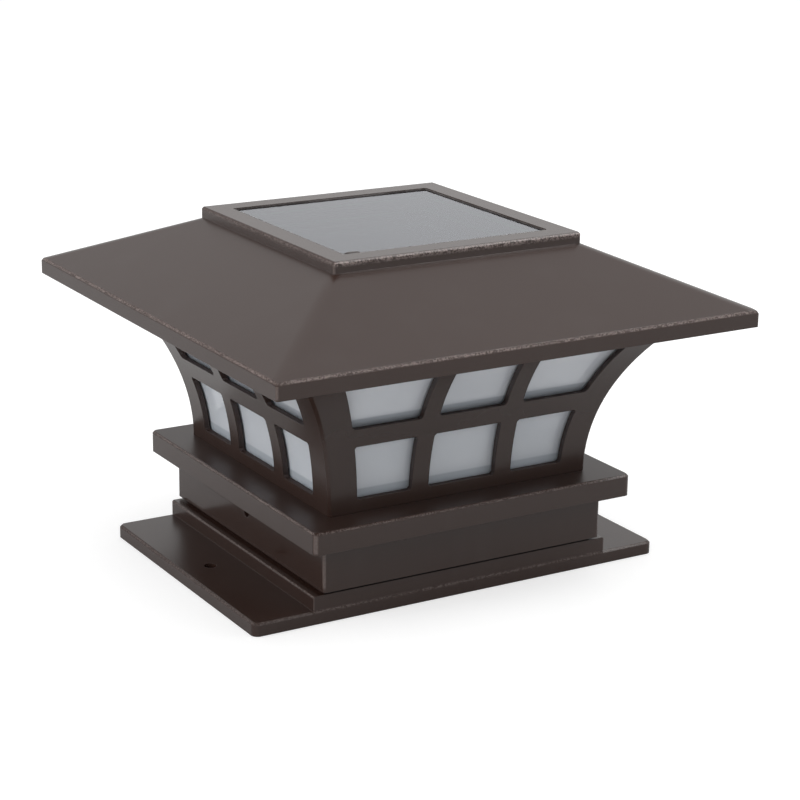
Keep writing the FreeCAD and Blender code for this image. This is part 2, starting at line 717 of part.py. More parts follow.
def lead_path():
    """A lead's points in the XZ plane, with each bend made of short straight runs."""
    size = DIMENSIONS
    ends = [Vector(size["lead_hole_offset"], 0, size["panel_bed"] + size["tape_thick"]),
            Vector(size["lead_hole_offset"], 0, size["lead_upper_bend"]),
            Vector(0, 0, size["lead_lower_bend"]),
            Vector(0, 0, size["board_bottom"] + size["board_thick"])]
    points = [ends[0]]
    for before, corner, after in zip(ends, ends[1:], ends[2:]):
        arrive = (corner - before).normalize()
        leave = (after - corner).normalize()
        half_turn = arrive.getAngle(leave) / 2
        reach = 0.45 * min((corner - before).Length, (after - corner).Length)
        radius = reach / math.tan(half_turn)
        inward = (leave - arrive).normalize()
        bend = Part.Arc(corner - arrive * reach,
                        corner + inward * radius * (1 / math.cos(half_turn) - 1),
                        corner + leave * reach)
        points += bend.discretize(Number=BEND_STEPS + 1)
    return points + [ends[-1]]


def faceted_tube(path, radius, count, aside):
    """A many-sided tube along a path in the XZ plane, moved aside along Y."""
    runs = [(end - start).normalize() for start, end in zip(path, path[1:])]
    rings = []
    for point, arrive, leave in zip(path, runs[:1] + runs, runs + runs[-1:]):
        across = (arrive + leave).normalize().cross(Vector(0, 1, 0))
        stretch = radius / math.cos(arrive.getAngle(leave) / 2)
        turns = [2 * math.pi * step / count for step in range(count)]
        rings.append([point + across * stretch * math.cos(turn)
                      + Vector(0, aside + radius * math.sin(turn), 0) for turn in turns])
    outlines = [rings[0], rings[-1]]
    for low, high in zip(rings, rings[1:]):
        for one, other in zip(range(count), list(range(1, count)) + [0]):
            outlines.append([low[one], low[other], high[other], high[one]])
    faces = [Part.Face(Part.makePolygon(outline + outline[:1])) for outline in outlines]
    shell = Part.Shell(faces)
    shell.sewShape()
    tube = Part.Solid(shell)
    if tube.Volume < 0:
        tube.reverse()
    return tube


def make_panel_leads():
    """Leads, the plug that seals them in the roof and the grommet in the soffit."""
    for side, colour in ((-1, "red"), (1, "black")):
        item = doc.addObject("Part::Feature", "lead_" + colour)
        item.Shape = faceted_tube(lead_path(), DIMENSIONS["lead_radius"], BOSS_SIDES,
                                  side * DIMENSIONS["lead_spacing"])
        node(item, "panel_lead_" + colour)
    plug = prism("seal_plug", LEAD_SIDES, "lead_hole_radius",
                 ("lead_hole_offset", "0", "hollow_top"), "panel_bed - hollow_top")
    bores = [prism("seal_bore_" + name, BOSS_SIDES, "lead_radius",
                   ("lead_hole_offset", spacing, "hollow_top - 1"),
                   "panel_bed - hollow_top + 2")
             for name, spacing in (("black", "lead_spacing"), ("red", "-lead_spacing"))]
    node(cut("seal_bored", plug, bores), "lead_seal")
    axis = ("0", "0")
    low = "soffit_bottom - grommet_lip"
    barrel = [prism("grommet_barrel", LEAD_SIDES, "lead_hole_radius", axis + (low,),
                    "wall + 2 * grommet_lip"),
              prism("grommet_lower_rim", LEAD_SIDES, "grommet_rim", axis + (low,),
                    "grommet_lip"),
              prism("grommet_upper_rim", LEAD_SIDES, "grommet_rim",
                    axis + ("soffit_top",), "grommet_lip")]
    bore = prism("grommet_hole_bore", LEAD_SIDES, "grommet_bore", axis + (low,),
                 "wall + 2 * grommet_lip")
    node(cut("grommet", fuse("grommet_solid", barrel), [bore]), "lead_grommet")


def make_reflector():
    """White upside-down pyramid that spreads the LEDs' light outward."""
    cone = frustum("cone", ("reflector_tip_half", "reflector_tip"),
                   ("reflector_half", "soffit_bottom"))
    dish = frustum("dish", ("reflector_tip_half", "reflector_tip + reflector_thick"),
                   ("reflector_half - reflector_rim", "soffit_bottom"))
    hole = prism("reflector_hole", LEAD_SIDES, "lead_hole_radius",
                 ("0", "0", "reflector_tip - 1"), "reflector_thick + 2")
    node(cut("reflector_drilled", cone, [dish, hole]), "reflector")


# ------------------------------------------------------------ electronics pod

def make_pod_housing():
    """Tub that stands up through the deck, open below, with a battery bay."""
    body = new_body("pod_body")
    pad(body, flat_sketch(body, "pod_flange", "pod_flange_bottom",
                          ("flange_half_length", "flange_half_width")), "plate_thick")
    pad(body, flat_sketch(body, "pod_tub", "pod_flange_bottom",
                          ("pod_half_length", "pod_half_width")),
        "pod_top - pod_flange_bottom")
    round_body(body, "pod_corners", "plate_corner",
               lambda e: upright(e, "pod_flange_bottom", "pod_top"), "Chamfer")
    room = flat_sketch(body, "pod_room", "pod_flange_bottom",
                       ("pod_half_length - pod_wall", "pod_half_width - pod_wall"))
    pocket_up(body, room, "pod_top - pod_wall - pod_flange_bottom")
    ceiling = "pod_top - pod_wall"
    divider = block("divider", both_ways("pod_half_length - pod_wall / 2"),
                    ("divider_front", "divider_back"),
                    ("pod_flange_bottom", "pod_top - pod_wall / 2"))
    face = "pod_half_length - pod_wall"
    notches = [block("notch_" + side, xs, ("divider_front - 1", "divider_back + 1"),
                     ("battery_z - contact_tab_drop", "board_bottom + board_thick"))
               for side, xs in (("right", (face + " - 1", face)),
                                ("left", (minus(face), "1 - (%s)" % face)))]
    board_top = "board_bottom + board_thick"
    board_posts = [("post_x", "board_post_y"), ("-post_x", "board_post_y")]
    led_posts = [("post_x", "led_post_y"), ("-post_x", "led_post_y")]
    posts = bosses_at("board_post", "post_radius", board_posts, board_top,
                        "pod_top - pod_wall / 2 - board_bottom - board_thick")
    posts += bosses_at("led_post", "post_radius", led_posts, "led_post_bottom",
                         "pod_top - pod_wall / 2 - led_post_bottom")
    solid = fuse("pod_solid", [body, cut("divider_notched", divider, notches)] + posts)
    holes = screw_holes("pod_flange_hole", "clear_radius",
                        corners("pod_screw_x", "pod_screw_y"), "pod_flange_bottom - 1",
                        "plate_thick + 2")
    holes += screw_holes("board_pilot", "small_pilot_radius", board_posts,
                         board_top + " - 1", "small_pilot_depth + 1")
    holes += screw_holes("led_pilot", "small_pilot_radius", led_posts,
                         "pod_top - small_pilot_depth", "small_pilot_depth + 1")
    holes.append(prism("pod_lead_hole", LEAD_SIDES, "lead_hole_radius",
                       ("0", "0", ceiling + " - 1"), "pod_wall + 2"))
    holes.append(block("link_slot", both_ways("2 * link_pitch + 1"),
                       ("link_y - 1.5", "link_y + 1.5"),
                       (ceiling + " - 1", "pod_top + 1")))
    node(cut("pod_drilled", solid, holes), "pod_housing")


def make_pod_cover():
    """Plate under the pod with the door's opening, knuckles and switch slot."""
    body = new_body("cover_body")
    pad(body, flat_sketch(body, "pod_cover_plate", "pod_flange_bottom - plate_thick",
                          ("flange_half_length", "flange_half_width")), "plate_thick")
    round_body(body, "cover_corners", "plate_corner", lambda e: runs_along(e, 2),
               "Chamfer")
    gap = "door_knuckle_half + knuckle_gap"
    knuckles = [rod("cover_knuckle_0", "knuckle_radius", (gap, "hinge_y", "hinge_z"),
                    "pin_half - (%s)" % gap, "x"),
                rod("cover_knuckle_1", "knuckle_radius",
                    ("-pin_half", "hinge_y", "hinge_z"), "pin_half - (%s)" % gap, "x")]
    low = "pod_flange_bottom - plate_thick - 3"
    through = (low, "pod_flange_bottom + 1")
    reach = "slider_half_length + switch_travel / 2 + slider_fit"
    holes = [block("door_opening", both_ways("door_half + door_fit"),
                   ("door_front - door_fit", "door_back + door_fit"),
                   ("pod_flange_bottom - plate_thick", "pod_flange_bottom + 1")),
             block("hinge_gap", both_ways(gap),
                   ("hinge_y - knuckle_radius - knuckle_gap", "door_front"), through),
             block("switch_slot", ("switch_x - (%s)" % reach, "switch_x + " + reach),
                   ("switch_y - slider_half_width - slider_fit",
                    "switch_y + slider_half_width + slider_fit"), through),
             rod("cover_pin_bore", "pin_radius", ("-pin_half", "hinge_y", "hinge_z"),
                 "2 * pin_half", "x")]
    holes += screw_holes("cover_hole", "clear_radius", corners("pod_screw_x", "pod_screw_y"),
                  low, "plate_thick + 4")
    node(cut("cover_drilled", fuse("cover_solid", [body] + knuckles), holes), "pod_cover")
    node(rod("pin", "pin_radius", ("-pin_half", "hinge_y", "hinge_z"), "2 * pin_half",
             "x"), "hinge_pin")
    foam = ring("pod_foam", ("flange_half_length", "flange_half_width"),
                ("pod_half_length + pod_fit", "pod_half_width + pod_fit"),
                ("pod_flange_bottom + plate_thick", "deck_bottom"))
    node(cut("pod_foam_punched", foam, screw_holes(
        "foam_hole", "clear_radius", corners("pod_screw_x", "pod_screw_y"),
        "pod_flange_bottom", "plate_thick + gasket_thick + 1")), "pod_gasket")


def make_battery_door():
    """Door with a central knuckle and a latch tongue, and its seal."""
    low = "pod_flange_bottom - plate_thick"
    high = low + " + door_thick"
    panel = block("door_panel", both_ways("door_half"), ("door_front", "door_back"),
                  (low, high))
    leaf = block("door_leaf", both_ways("door_knuckle_half"),
                 ("hinge_y", "door_front + 1"), (low, high))
    knuckle = rod("door_knuckle", "knuckle_radius",
                  ("-door_knuckle_half", "hinge_y", "hinge_z"), "2 * door_knuckle_half",
                  "x")
    tongue = block("latch_tongue", both_ways("latch_half"), ("latch_front", "latch_back"),
                   (low, "latch_top"))
    bore = rod("door_pin_bore", "pin_radius + pin_fit",
               ("-door_knuckle_half - 1", "hinge_y", "hinge_z"),
               "2 * door_knuckle_half + 2", "x")
    node(cut("door", fuse("door_solid", [panel, leaf, knuckle, tongue]), [bore]),
         "battery_door")
    inset = "door_fit + seal_width"
    outer = block("seal_outer", both_ways("door_half - door_fit"),
                  ("door_front + door_fit", "door_back - door_fit"),
                  (high, high + " + seal_thick"))
    inner = block("seal_inner", both_ways("door_half - (%s)" % inset),
                  ("door_front + " + inset, "door_back - (%s)" % inset),
                  (high, high + " + seal_thick"))
    node(cut("seal", outer, [inner]), "door_seal")


def spring_shape():
    """A bowed strip that presses the cell against the positive contact."""
    size = DIMENSIONS
    root = size["contact_thick"] - size["pod_half_length"] + size["pod_wall"]
    end = size["battery_nub_tip"] - size["battery_nub_length"] - size["battery_length"]
    middle = size["battery_z"]
    thick = size["spring_thick"]
    rise = size["spring_rise"]
    foot = size["spring_foot"]
    bow = [(root, middle - rise), (root + thick, middle - rise),
           (root + thick, middle - rise + foot), (end, middle - foot),
           (end, middle + foot), (root + 2 * thick, middle + rise),
           (root + thick, middle + rise), (end - thick, middle + foot),
           (end - thick, middle - foot), (root, middle - rise + foot)]
    front = size["battery_y"] - size["spring_half_width"]
    points = [Vector(x, front, z) for x, z in bow]
    profile = Part.Face(Part.makePolygon(points + points[:1]))
    return profile.extrude(Vector(0, 2 * size["spring_half_width"], 0))


def make_battery():
    """The rechargeable cell and the contacts at its two ends."""
    body_end = "battery_nub_tip - battery_nub_length"
    start = body_end + " - battery_length"
    body = rod("battery_can", "battery_radius", (start, "battery_y", "battery_z"),
               "battery_length", "x")
    can = rounded("battery_rounded", body, "base_edge", lambda e: spans(e)[0] < 0.01,
                  "Chamfer")
    nub = rod("battery_nub", "battery_nub_radius", (body_end, "battery_y", "battery_z"),
              "battery_nub_length", "x")
    node(fuse("battery", [can, nub]), "battery_cell")

    face = "pod_half_length - pod_wall"
    ys = ("battery_y - contact_half", "battery_y + contact_half")
    zs = ("battery_z - contact_half", "battery_z + contact_half")
    tab_zs = ("battery_z - contact_tab_drop", "board_bottom + board_thick")
    tab_ys = ("battery_y + contact_half - 1", "board_front + 2")
    right = (face + " - contact_thick", face)
    left = (minus(face), "contact_thick - (%s)" % face)
    bump = block("contact_bump", ("battery_nub_tip", face),
                 ("battery_y - contact_bump_half", "battery_y + contact_bump_half"),
                 ("battery_z - contact_bump_half", "battery_z + contact_bump_half"))
    node(fuse("positive", [block("positive_plate", right, ys, zs),
                           block("positive_tab", right, tab_ys, tab_zs), bump]),
         "contact_plate")
    node(fuse("negative", [block("negative_plate", left, ys, zs),
                           block("negative_tab", left, tab_ys, tab_zs)]), "contact_strip")
    spring = doc.addObject("Part::Feature", "spring")
    spring.Shape = spring_shape()
    node(spring, "contact_spring")


def make_boards():
    """Control board, its parts and switch, the LED board and the pins between."""
    top = "board_bottom + board_thick"
    holes = screw_holes("board_hole", "small_pilot_radius",
                        [("post_x", "board_post_y"), ("-post_x", "board_post_y")],
                        "board_bottom - 1", "board_thick + 2")
    node(cut("control", block("control_blank", both_ways("board_half"),
                              ("board_front", "board_back"), ("board_bottom", top)),
             holes), "control_board")
    parts = [block("controller", ("-16", "-9"), ("3", "9"), (top, top + " + 1.6")),
             prism("inductor", LEAD_SIDES, "3.2", ("-19", "14", top), "3.0"),
             prism("capacitor", LEAD_SIDES, "2.5", ("15", "4", top), "6.0"),
             block("diode", ("14", "18"), ("12", "14.6"), (top, top + " + 1.4")),
             block("resistor_row", ("-8", "-2"), ("14", "15.6"), (top, top + " + 0.6"))]
    node(group("parts_on_board", parts), "board_components")
    pins = [block("pin_%d" % (step + 2), ("%s * link_pitch - link_pin_half" % step,
                                          "%s * link_pitch + link_pin_half" % step),
                  ("link_y - link_pin_half", "link_y + link_pin_half"), (top, "pod_top"))
            for step in (-1.5, -0.5, 0.5, 1.5)]
    header = block("link_header", both_ways("2 * link_pitch"),
                   ("link_y - 1.2", "link_y + 1.2"), (top, top + " + 2.4"))
    node(fuse("link", [header] + pins), "board_link")

    led_top = "pod_top + board_thick"
    led_holes = screw_holes("led_hole", "small_pilot_radius",
                            [("post_x", "led_post_y"), ("-post_x", "led_post_y")],
                            "pod_top - 1", "board_thick + 2")
    led_holes.append(prism("led_lead_hole", LEAD_SIDES, "lead_hole_radius",
                           ("0", "0", "pod_top - 1"), "board_thick + 2"))
    node(cut("led_plate", block("led_blank", both_ways("led_board_half_length"),
                                both_ways("led_board_half_width"),
                                ("pod_top", led_top)), led_holes), "led_board")
    packages = []
    for column in (-1.5, -0.5, 0.5, 1.5):
        for row in (-1, 0, 1):
            x = "%s * led_pitch_x" % column
            y = "%s * led_pitch_y" % row
            packages.append(block(
                "led_%d_%d" % (column + 2, row + 1),
                (x + " - led_half_length", x + " + led_half_length"),
                (y + " - led_half_width", y + " + led_half_width"),
                (led_top, led_top + " + led_height")))
    node(group("led_packages", packages), "leds")


def make_switch():
    """Slide switch under the control board, and its slider."""
    low = "board_bottom - switch_height"
    body = block("switch_case", ("switch_x - switch_half_length",
                                 "switch_x + switch_half_length"),
                 ("switch_y - switch_half_width", "switch_y + switch_half_width"),
                 (low, "board_bottom"))
    reach = "slider_half_length + switch_travel / 2 + slider_fit"
    across = ("switch_y - slider_half_width", "switch_y + slider_half_width")
    groove = block("switch_groove", ("switch_x - (%s)" % reach, "switch_x + " + reach),
                   (across[0] + " - slider_fit", across[1] + " + slider_fit"),
                   (low, low + " + slider_depth + slider_fit"))
    node(cut("switch", body, [groove]), "switch_body")
    middle = "switch_x - switch_travel / 2"
    node(block("slider", (middle + " - slider_half_length", middle + " + slider_half_length"),
               across, ("slider_tip", low + " + slider_depth")), "switch_slider")


# ------------------------------------------------------------ screws

def make_screws(name, places, seat, length, size="", head_above=False):
    """Pan-head screws with their heads against a seat, one at each place."""
    screws = []
    for index, (x, y) in enumerate(places):
        head = size + "head_radius" if size else "screw_head_radius"
        height = size + "head" if size else "screw_head"
        shank = size + "screw_radius" if size else "screw_radius"
        head_z = seat if head_above else "%s - %s" % (seat, height)
        shank_z = "%s - %s" % (seat, length) if head_above else seat
        stem = "%s_%d" % (name, index)
        top = prism(stem + "_head", BOSS_SIDES, head, (x, y, head_z), height)
        stem_rod = prism(stem + "_shank", SCREW_SIDES, shank, (x, y, shank_z), length)
        screws.append(fuse(stem, [top, stem_rod]))
    node(group(name + "_group", screws), name)


def make_all_screws():
    posts = [("post_x", "board_post_y"), ("-post_x", "board_post_y")]
    led_posts = [("post_x", "led_post_y"), ("-post_x", "led_post_y")]
    make_screws("collar_screws", corners("foot_screw_offset", "foot_screw_offset"),
                "deck_bottom", "12")
    make_screws("pod_screws", corners("pod_screw_x", "pod_screw_y"),
                "pod_flange_bottom - plate_thick", "10")
    make_screws("roof_screws", corners("roof_screw_offset", "roof_screw_offset"),
                "lantern_top - tab_thick", "15")
    make_screws("soffit_screws", sides("soffit_screw_offset"), "soffit_bottom", "6")
    make_screws("board_screws", posts, "board_bottom", "8", "small_")
    make_screws("led_screws", led_posts, "pod_top + board_thick", "7", "small_", True)


# ------------------------------------------------------------ build, check and write

def check_document():
    """Stop if any object failed or any sub-part isn't a valid shape."""
    doc.recompute()
    failed = [item.Label for item in doc.Objects
              if "Invalid" in item.State or "Error" in item.State]
    if failed:
        raise RuntimeError("failed: " + ", ".join(failed))
    for item in NODES:
        if item.Shape.isNull() or not item.Shape.isValid():
            raise RuntimeError("%s has no valid shape" % item.Label)


fill_sheet()
make_mounting_base()
make_post_collar()
make_lantern_frame()
make_diffusers()
make_roof_cover()
make_soffit_plate()
make_roof_gasket()
make_solar_panel()
make_panel_leads()
make_reflector()
make_pod_housing()
make_pod_cover()
make_battery_door()
make_battery()
make_boards()
make_switch()
make_all_screws()
check_document()

os.makedirs("parts", exist_ok=True)
for item in NODES:
    item.Shape.exportStep("parts/%s.step" % item.Label)
print("%d sub-parts written" % len(NODES))
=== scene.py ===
"""Looks of the solar deck post cap light, in metres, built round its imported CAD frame."""

import math

import bpy
from mathutils import Matrix, Vector


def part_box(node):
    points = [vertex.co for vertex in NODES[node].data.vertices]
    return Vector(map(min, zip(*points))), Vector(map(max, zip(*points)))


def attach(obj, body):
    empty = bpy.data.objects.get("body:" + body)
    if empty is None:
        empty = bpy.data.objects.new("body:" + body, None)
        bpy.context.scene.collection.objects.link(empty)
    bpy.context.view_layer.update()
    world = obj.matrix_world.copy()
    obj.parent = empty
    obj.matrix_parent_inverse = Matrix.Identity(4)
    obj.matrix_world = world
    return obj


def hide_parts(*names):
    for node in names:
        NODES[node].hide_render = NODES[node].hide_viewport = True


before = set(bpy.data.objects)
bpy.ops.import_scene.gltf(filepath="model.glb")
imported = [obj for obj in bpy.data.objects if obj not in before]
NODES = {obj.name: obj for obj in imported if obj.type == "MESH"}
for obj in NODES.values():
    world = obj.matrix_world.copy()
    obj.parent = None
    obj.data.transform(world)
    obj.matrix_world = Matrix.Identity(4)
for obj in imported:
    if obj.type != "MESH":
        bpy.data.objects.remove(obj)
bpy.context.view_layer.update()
MM = 0.001

# Heights and half widths of the main edges, read from the frame where it gives them.
ROOF_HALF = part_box("roof_cover")[1].x
BEZEL_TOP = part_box("roof_cover")[1].z
CORNICE_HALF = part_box("post_collar")[1].x
BASE_HALF_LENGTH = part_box("mounting_base")[1].x
BASE_HALF_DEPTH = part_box("mounting_base")[1].y
BEZEL_HALF = 57.7 * MM
EAVES_HEIGHT = 116.7 * MM
CORNICE_TOP = 42.4 * MM
FLANGE_TOP = 5.6 * MM
TRAY_HALF = 70.1 * MM
TRAY_TOP = 12.0 * MM
BOARD_TOP = 48.1 * MM
# Middle and half height of the windows' zone and of the neck.
WINDOWS, WINDOWS_REACH = 76.0 * MM, 33.0 * MM
NECK, NECK_REACH = 23.0 * MM, 10.5 * MM
# Where the painted shade at the foot of each row's panes lies, and how far it fades either
# way.
LOWER_BAND, UPPER_BAND, BAND_REACH = 48.6 * MM, 80.6 * MM, 3.4 * MM
# Between these heights the panes go over from the lower row's painted shade to the upper
# row's plain colour.
LOWER_ROW_TOP, UPPER_ROW_FOOT = 76.0 * MM, 84.0 * MM
# Upright corners down which glints are painted, in millimetres: half length, half width,
# what the rounding takes off their sum, and the lowest and highest point.
CORNERS = ((57.7, 57.7, 0.6, 139.0, 144.0), (110.0, 110.0, 0.6, 110.0, 117.0),
           (75.2, 75.2, 1.5, 33.0, 42.4), (66.46, 66.46, 0.95, 13.0, 33.2),
           (70.1, 65.0, 0.1, 5.6, 12.0))


# ------------------------------------------------------------ shader maths

class Number:
    """A number in a material's nodes, which Python's operators can work on."""

    def __init__(self, finish, socket):
        self.finish = finish
        self.socket = socket

    def math(self, operation, *others):
        values = dict(enumerate((self,) + others))
        return self.finish.number("ShaderNodeMath", {"operation": operation}, values)

    def __add__(self, other):
        return self.math("ADD", other)

    __radd__ = __add__

    def __mul__(self, other):
        return self.math("MULTIPLY", other)

    __rmul__ = __mul__

    def __sub__(self, other):
        return self.math("SUBTRACT", other)

    def __rsub__(self, other):
        return self * -1.0 + other

    def __truediv__(self, other):
        return self.math("DIVIDE", other)

    def __pow__(self, other):
        return self.math("POWER", other)

    def __abs__(self):
        return self.math("ABSOLUTE")

    def __mod__(self, other):
        return self.math("FLOORED_MODULO", other)

    def most(self, other):
        return self.math("MAXIMUM", other)

    def ramp(self, low, high, start=0.0, end=1.0):
        """A smooth step from start to end as the number goes from low to high."""
        return self.finish.number(
            "ShaderNodeMapRange", {"interpolation_type": "SMOOTHSTEP"},
            {"Value": self, "From Min": low, "From Max": high,
             "To Min": start, "To Max": end})

    def near(self, centre, reach):
        """1 at a centre, falling smoothly to 0 at a reach either side of it."""
        return abs(self - centre).ramp(0.0, reach, 1.0, 0.0)


class Finish:
    """The nodes of one material or of the world."""

    def __init__(self, owner):
        self.owner = owner
        owner.use_nodes = True
        self.tree = owner.node_tree
        self.tree.nodes.clear()

    def node(self, kind, settings=None, values=None):
        """A node: its settings are set first, then its sockets' values or links."""
        made = self.tree.nodes.new(kind)
        for name, setting in (settings or {}).items():
            setattr(made, name, setting)
        for name, value in (values or {}).items():
            value = getattr(value, "socket", value)
            if isinstance(value, bpy.types.NodeSocket):
                self.tree.links.new(value, made.inputs[name])
            else:
                made.inputs[name].default_value = value
        return made

    def number(self, kind, settings=None, values=None):
        """A node's first output as a number."""
        return Number(self, self.node(kind, settings, values).outputs[0])

    def place(self):
        """The X, Y and Z of a point on the object, in metres."""
        where = self.node("ShaderNodeTexCoord").outputs["Object"]
        parts = self.node("ShaderNodeSeparateXYZ", values={"Vector": where}).outputs
        return [Number(self, part) for part in parts]

    def noise(self, scale, detail=2.0, stretch=None):
        """Noise between 0 and 1, with a scale in cells per metre."""
        where = self.node("ShaderNodeTexCoord").outputs["Object"]
        if stretch:
            where = self.node("ShaderNodeMapping", values={
                "Vector": where, "Scale": stretch}).outputs[0]
        return self.number("ShaderNodeTexNoise", values={
            "Vector": where, "Scale": scale, "Detail": detail})

    def mix(self, factor, first, second):
        """One colour turning into another."""
        mixed = self.node("ShaderNodeMix", {"data_type": "RGBA"},
                          {0: factor, 6: rgba(first), 7: rgba(second)})
        return mixed.outputs[2]

    def bump(self, height, depth, under=None):
        """A normal from a height between 0 and 1, as deep as given in metres."""
        values = {"Height": height, "Distance": depth, "Strength": 1.0}
        if under is not None:
            values["Normal"] = under
        return self.node("ShaderNodeBump", values=values).outputs["Normal"]

    def surface(self, **values):
        """A Principled shader on the material's output."""
        named = {name.replace("_", " "): rgba(value) for name, value in values.items()}
        shader = self.node("ShaderNodeBsdfPrincipled", values=named)
        self.node("ShaderNodeOutputMaterial", values={"Surface": shader.outputs[0]})
        return self.owner


def rgba(value):
    """A colour of three numbers with an alpha of 1, or any other value unchanged."""
    return value + (1.0,) if isinstance(value, tuple) and len(value) == 3 else value


def material(name):
    """A new material's nodes, still empty."""
    return Finish(bpy.data.materials.new(name))


# ------------------------------------------------------------ materials

BROWN = (0.031, 0.0155, 0.0115)
BROWN_CLOUDED = (0.032, 0.0165, 0.0125)
BROWN_DUSTY = (0.044, 0.030, 0.026)
# Pale colour of the rubbed edges: partly wear, partly a painted highlight.
BROWN_RUBBED_AND_HIGHLIT = (0.36, 0.29, 0.27)
GRAIN_DEPTH = 0.045 * MM
EDGE_SOFTNESS = 0.45 * MM


def worn_and_highlit_edges(x, y, z):
    """1 along the moulding's upper edges, where its grain is coarse and rubbed pale, with a
    painted highlight on top of the wear.
    """
    reach = x.most(y)
    eaves = reach.near(ROOF_HALF, 1.3 * MM) * z.near(EAVES_HEIGHT, 1.0 * MM)
    bezel = reach.near(BEZEL_HALF, 1.0 * MM) * z.near(BEZEL_TOP - 0.9 * MM, 1.8 * MM)
    # The bezel's edge highlight is painted stronger on the front and back than on the left
    # and right, as the light falls.
    front_and_back_highlight = y.ramp(BEZEL_HALF - 1.2 * MM, BEZEL_HALF - 0.6 * MM, 0.3, 0.9)
    bezel = bezel * front_and_back_highlight
    cornice = reach.near(CORNICE_HALF, 1.1 * MM) * z.near(CORNICE_TOP - 0.2 * MM, 0.9 * MM)
    flange = x.near(BASE_HALF_LENGTH, 1.3 * MM).most(
        y.near(BASE_HALF_DEPTH, 1.3 * MM)) * z.near(FLANGE_TOP - 0.3 * MM, 1.1 * MM)
    tray = x.near(TRAY_HALF, 1.1 * MM) * z.near(TRAY_TOP - 0.3 * MM, 1.0 * MM)
    return eaves.most(bezel).most(cornice).most(flange * 0.25).most(tray * 0.3)


def painted_corner_glints(x, y, z):
    """1 down the upright corners of the bezel, fascia, cornice, neck and tray, where a thin
    glint is painted.
    """
    around = x + y
    found = None
    for length, width, cut_off, low, high in CORNERS:
        middle = (length + width - cut_off) * MM
        line = around.near(middle, 0.4 * MM) * z.near(
            (low + high) / 2 * MM, (high - low) / 2 * MM).ramp(0.0, 0.2)
        found = line if found is None else found.most(line)
    return found


def brown_plastic():
    """Dark brown moulded plastic, satin, with a fine spark-eroded grain, and painted
    highlights along its edges and corners.
    """
    finish = material("brown_moulded_plastic")
    x, y, z = finish.place()
    across, along = abs(x), abs(y)
    grain = finish.noise(1500.0, 2.0)
    pores = finish.noise(3600.0, 1.0)
    cloud = finish.noise(16.0, 3.0)
    flow = finish.noise(55.0, 2.0, stretch=(1.0, 1.0, 0.2))
    patches = finish.noise(150.0, 3.0)
    edge = worn_and_highlit_edges(across, along, z)
    # corner holds painted glints down the upright corners.
    corner = painted_corner_glints(across, along, z)
    # Pale lines along the upper edges: partly wear, partly a painted highlight.
    rub_and_highlight = edge * grain.ramp(0.44, 0.56) * patches.ramp(0.30, 0.55, 0.6, 1.0)
    facing = finish.node("ShaderNodeNewGeometry").outputs["True Normal"]
    upward = Number(finish, finish.node("ShaderNodeSeparateXYZ", values={
        "Vector": facing}).outputs["Z"]).ramp(0.85, 0.95)
    sill = upward * z.near(WINDOWS, WINDOWS_REACH).ramp(0.0, 0.05)
    neck = z.near(NECK, NECK_REACH).ramp(0.0, 0.1)
    deck = upward * z.near(CORNICE_TOP, 1.0 * MM).most(
        z.near(FLANGE_TOP, 1.0 * MM) * 0.4)
    colour = finish.mix(cloud.ramp(0.35, 0.75), BROWN, BROWN_CLOUDED)
    colour = finish.mix(flow.ramp(0.45, 0.8) * 0.2, colour, BROWN_DUSTY)
    colour = finish.mix((rub_and_highlight * 0.85).most(corner * (0.08 + grain * 0.25)), colour,
                        BROWN_RUBBED_AND_HIGHLIT)
    roughness = (0.21 + cloud * 0.05 + pores * 0.04 + edge * 0.08 + sill * 0.35
                 + deck * 0.14 - neck * 0.08)
    height = grain * (0.14 + edge * 0.86)
    softened = finish.node("ShaderNodeBevel", {"samples": 4},
                           {"Radius": EDGE_SOFTNESS}).outputs[0]
    return finish.surface(Base_Color=colour, Roughness=roughness, IOR=1.5,
                          Normal=finish.bump(height, GRAIN_DEPTH, softened))


def frosted_pane():
    """Milky acrylic, light grey blue, with painted shade in a band at the foot of each
    window and over the lower row.
    """
    finish = material("frosted_acrylic")
    haze = finish.noise(28.0, 2.0)
    grain = finish.noise(3200.0, 1.0)
    z = finish.place()[2]
    colour = finish.mix(haze.ramp(0.3, 0.7), (0.63, 0.655, 0.695), (0.69, 0.715, 0.755))
    # The band is painted shade at the foot of each window, where the lattice shades the
    # pane.
    band = z.near(LOWER_BAND, BAND_REACH).most(z.near(UPPER_BAND, BAND_REACH))
    colour = finish.mix(band.ramp(0.0, 0.35) * 0.75, colour, (0.40, 0.435, 0.48))
    # The lower row is painted darker and bluer: painted shade.
    lower_row_shade = z.ramp(UPPER_ROW_FOOT, LOWER_ROW_TOP)
    colour = finish.mix(lower_row_shade * 0.15, colour, (0.40, 0.45, 0.49))
    return finish.surface(
        Base_Color=colour, Roughness=0.08 + grain * 0.05, IOR=1.49,
        Subsurface_Weight=1.0, Subsurface_Radius=[1.0, 1.0, 1.0],
        Subsurface_Scale=1.5 * MM, Normal=finish.bump(grain, 0.003 * MM))


def panel_glass():
    """Clear glass: a thin gloss over what lies under it."""
    finish = material("solar_glass")
    waves = finish.noise(60.0, 1.0)
    normal = finish.bump(waves, 0.001 * MM)
    gloss = finish.number("ShaderNodeFresnel", values={"IOR": 1.52, "Normal": normal})
    return finish.surface(
        Base_Color=(0.92, 0.94, 1.0), Metallic=1.0, Alpha=gloss * 1.1 + 0.05,
        Roughness=0.05 + waves * 0.03, Normal=normal)


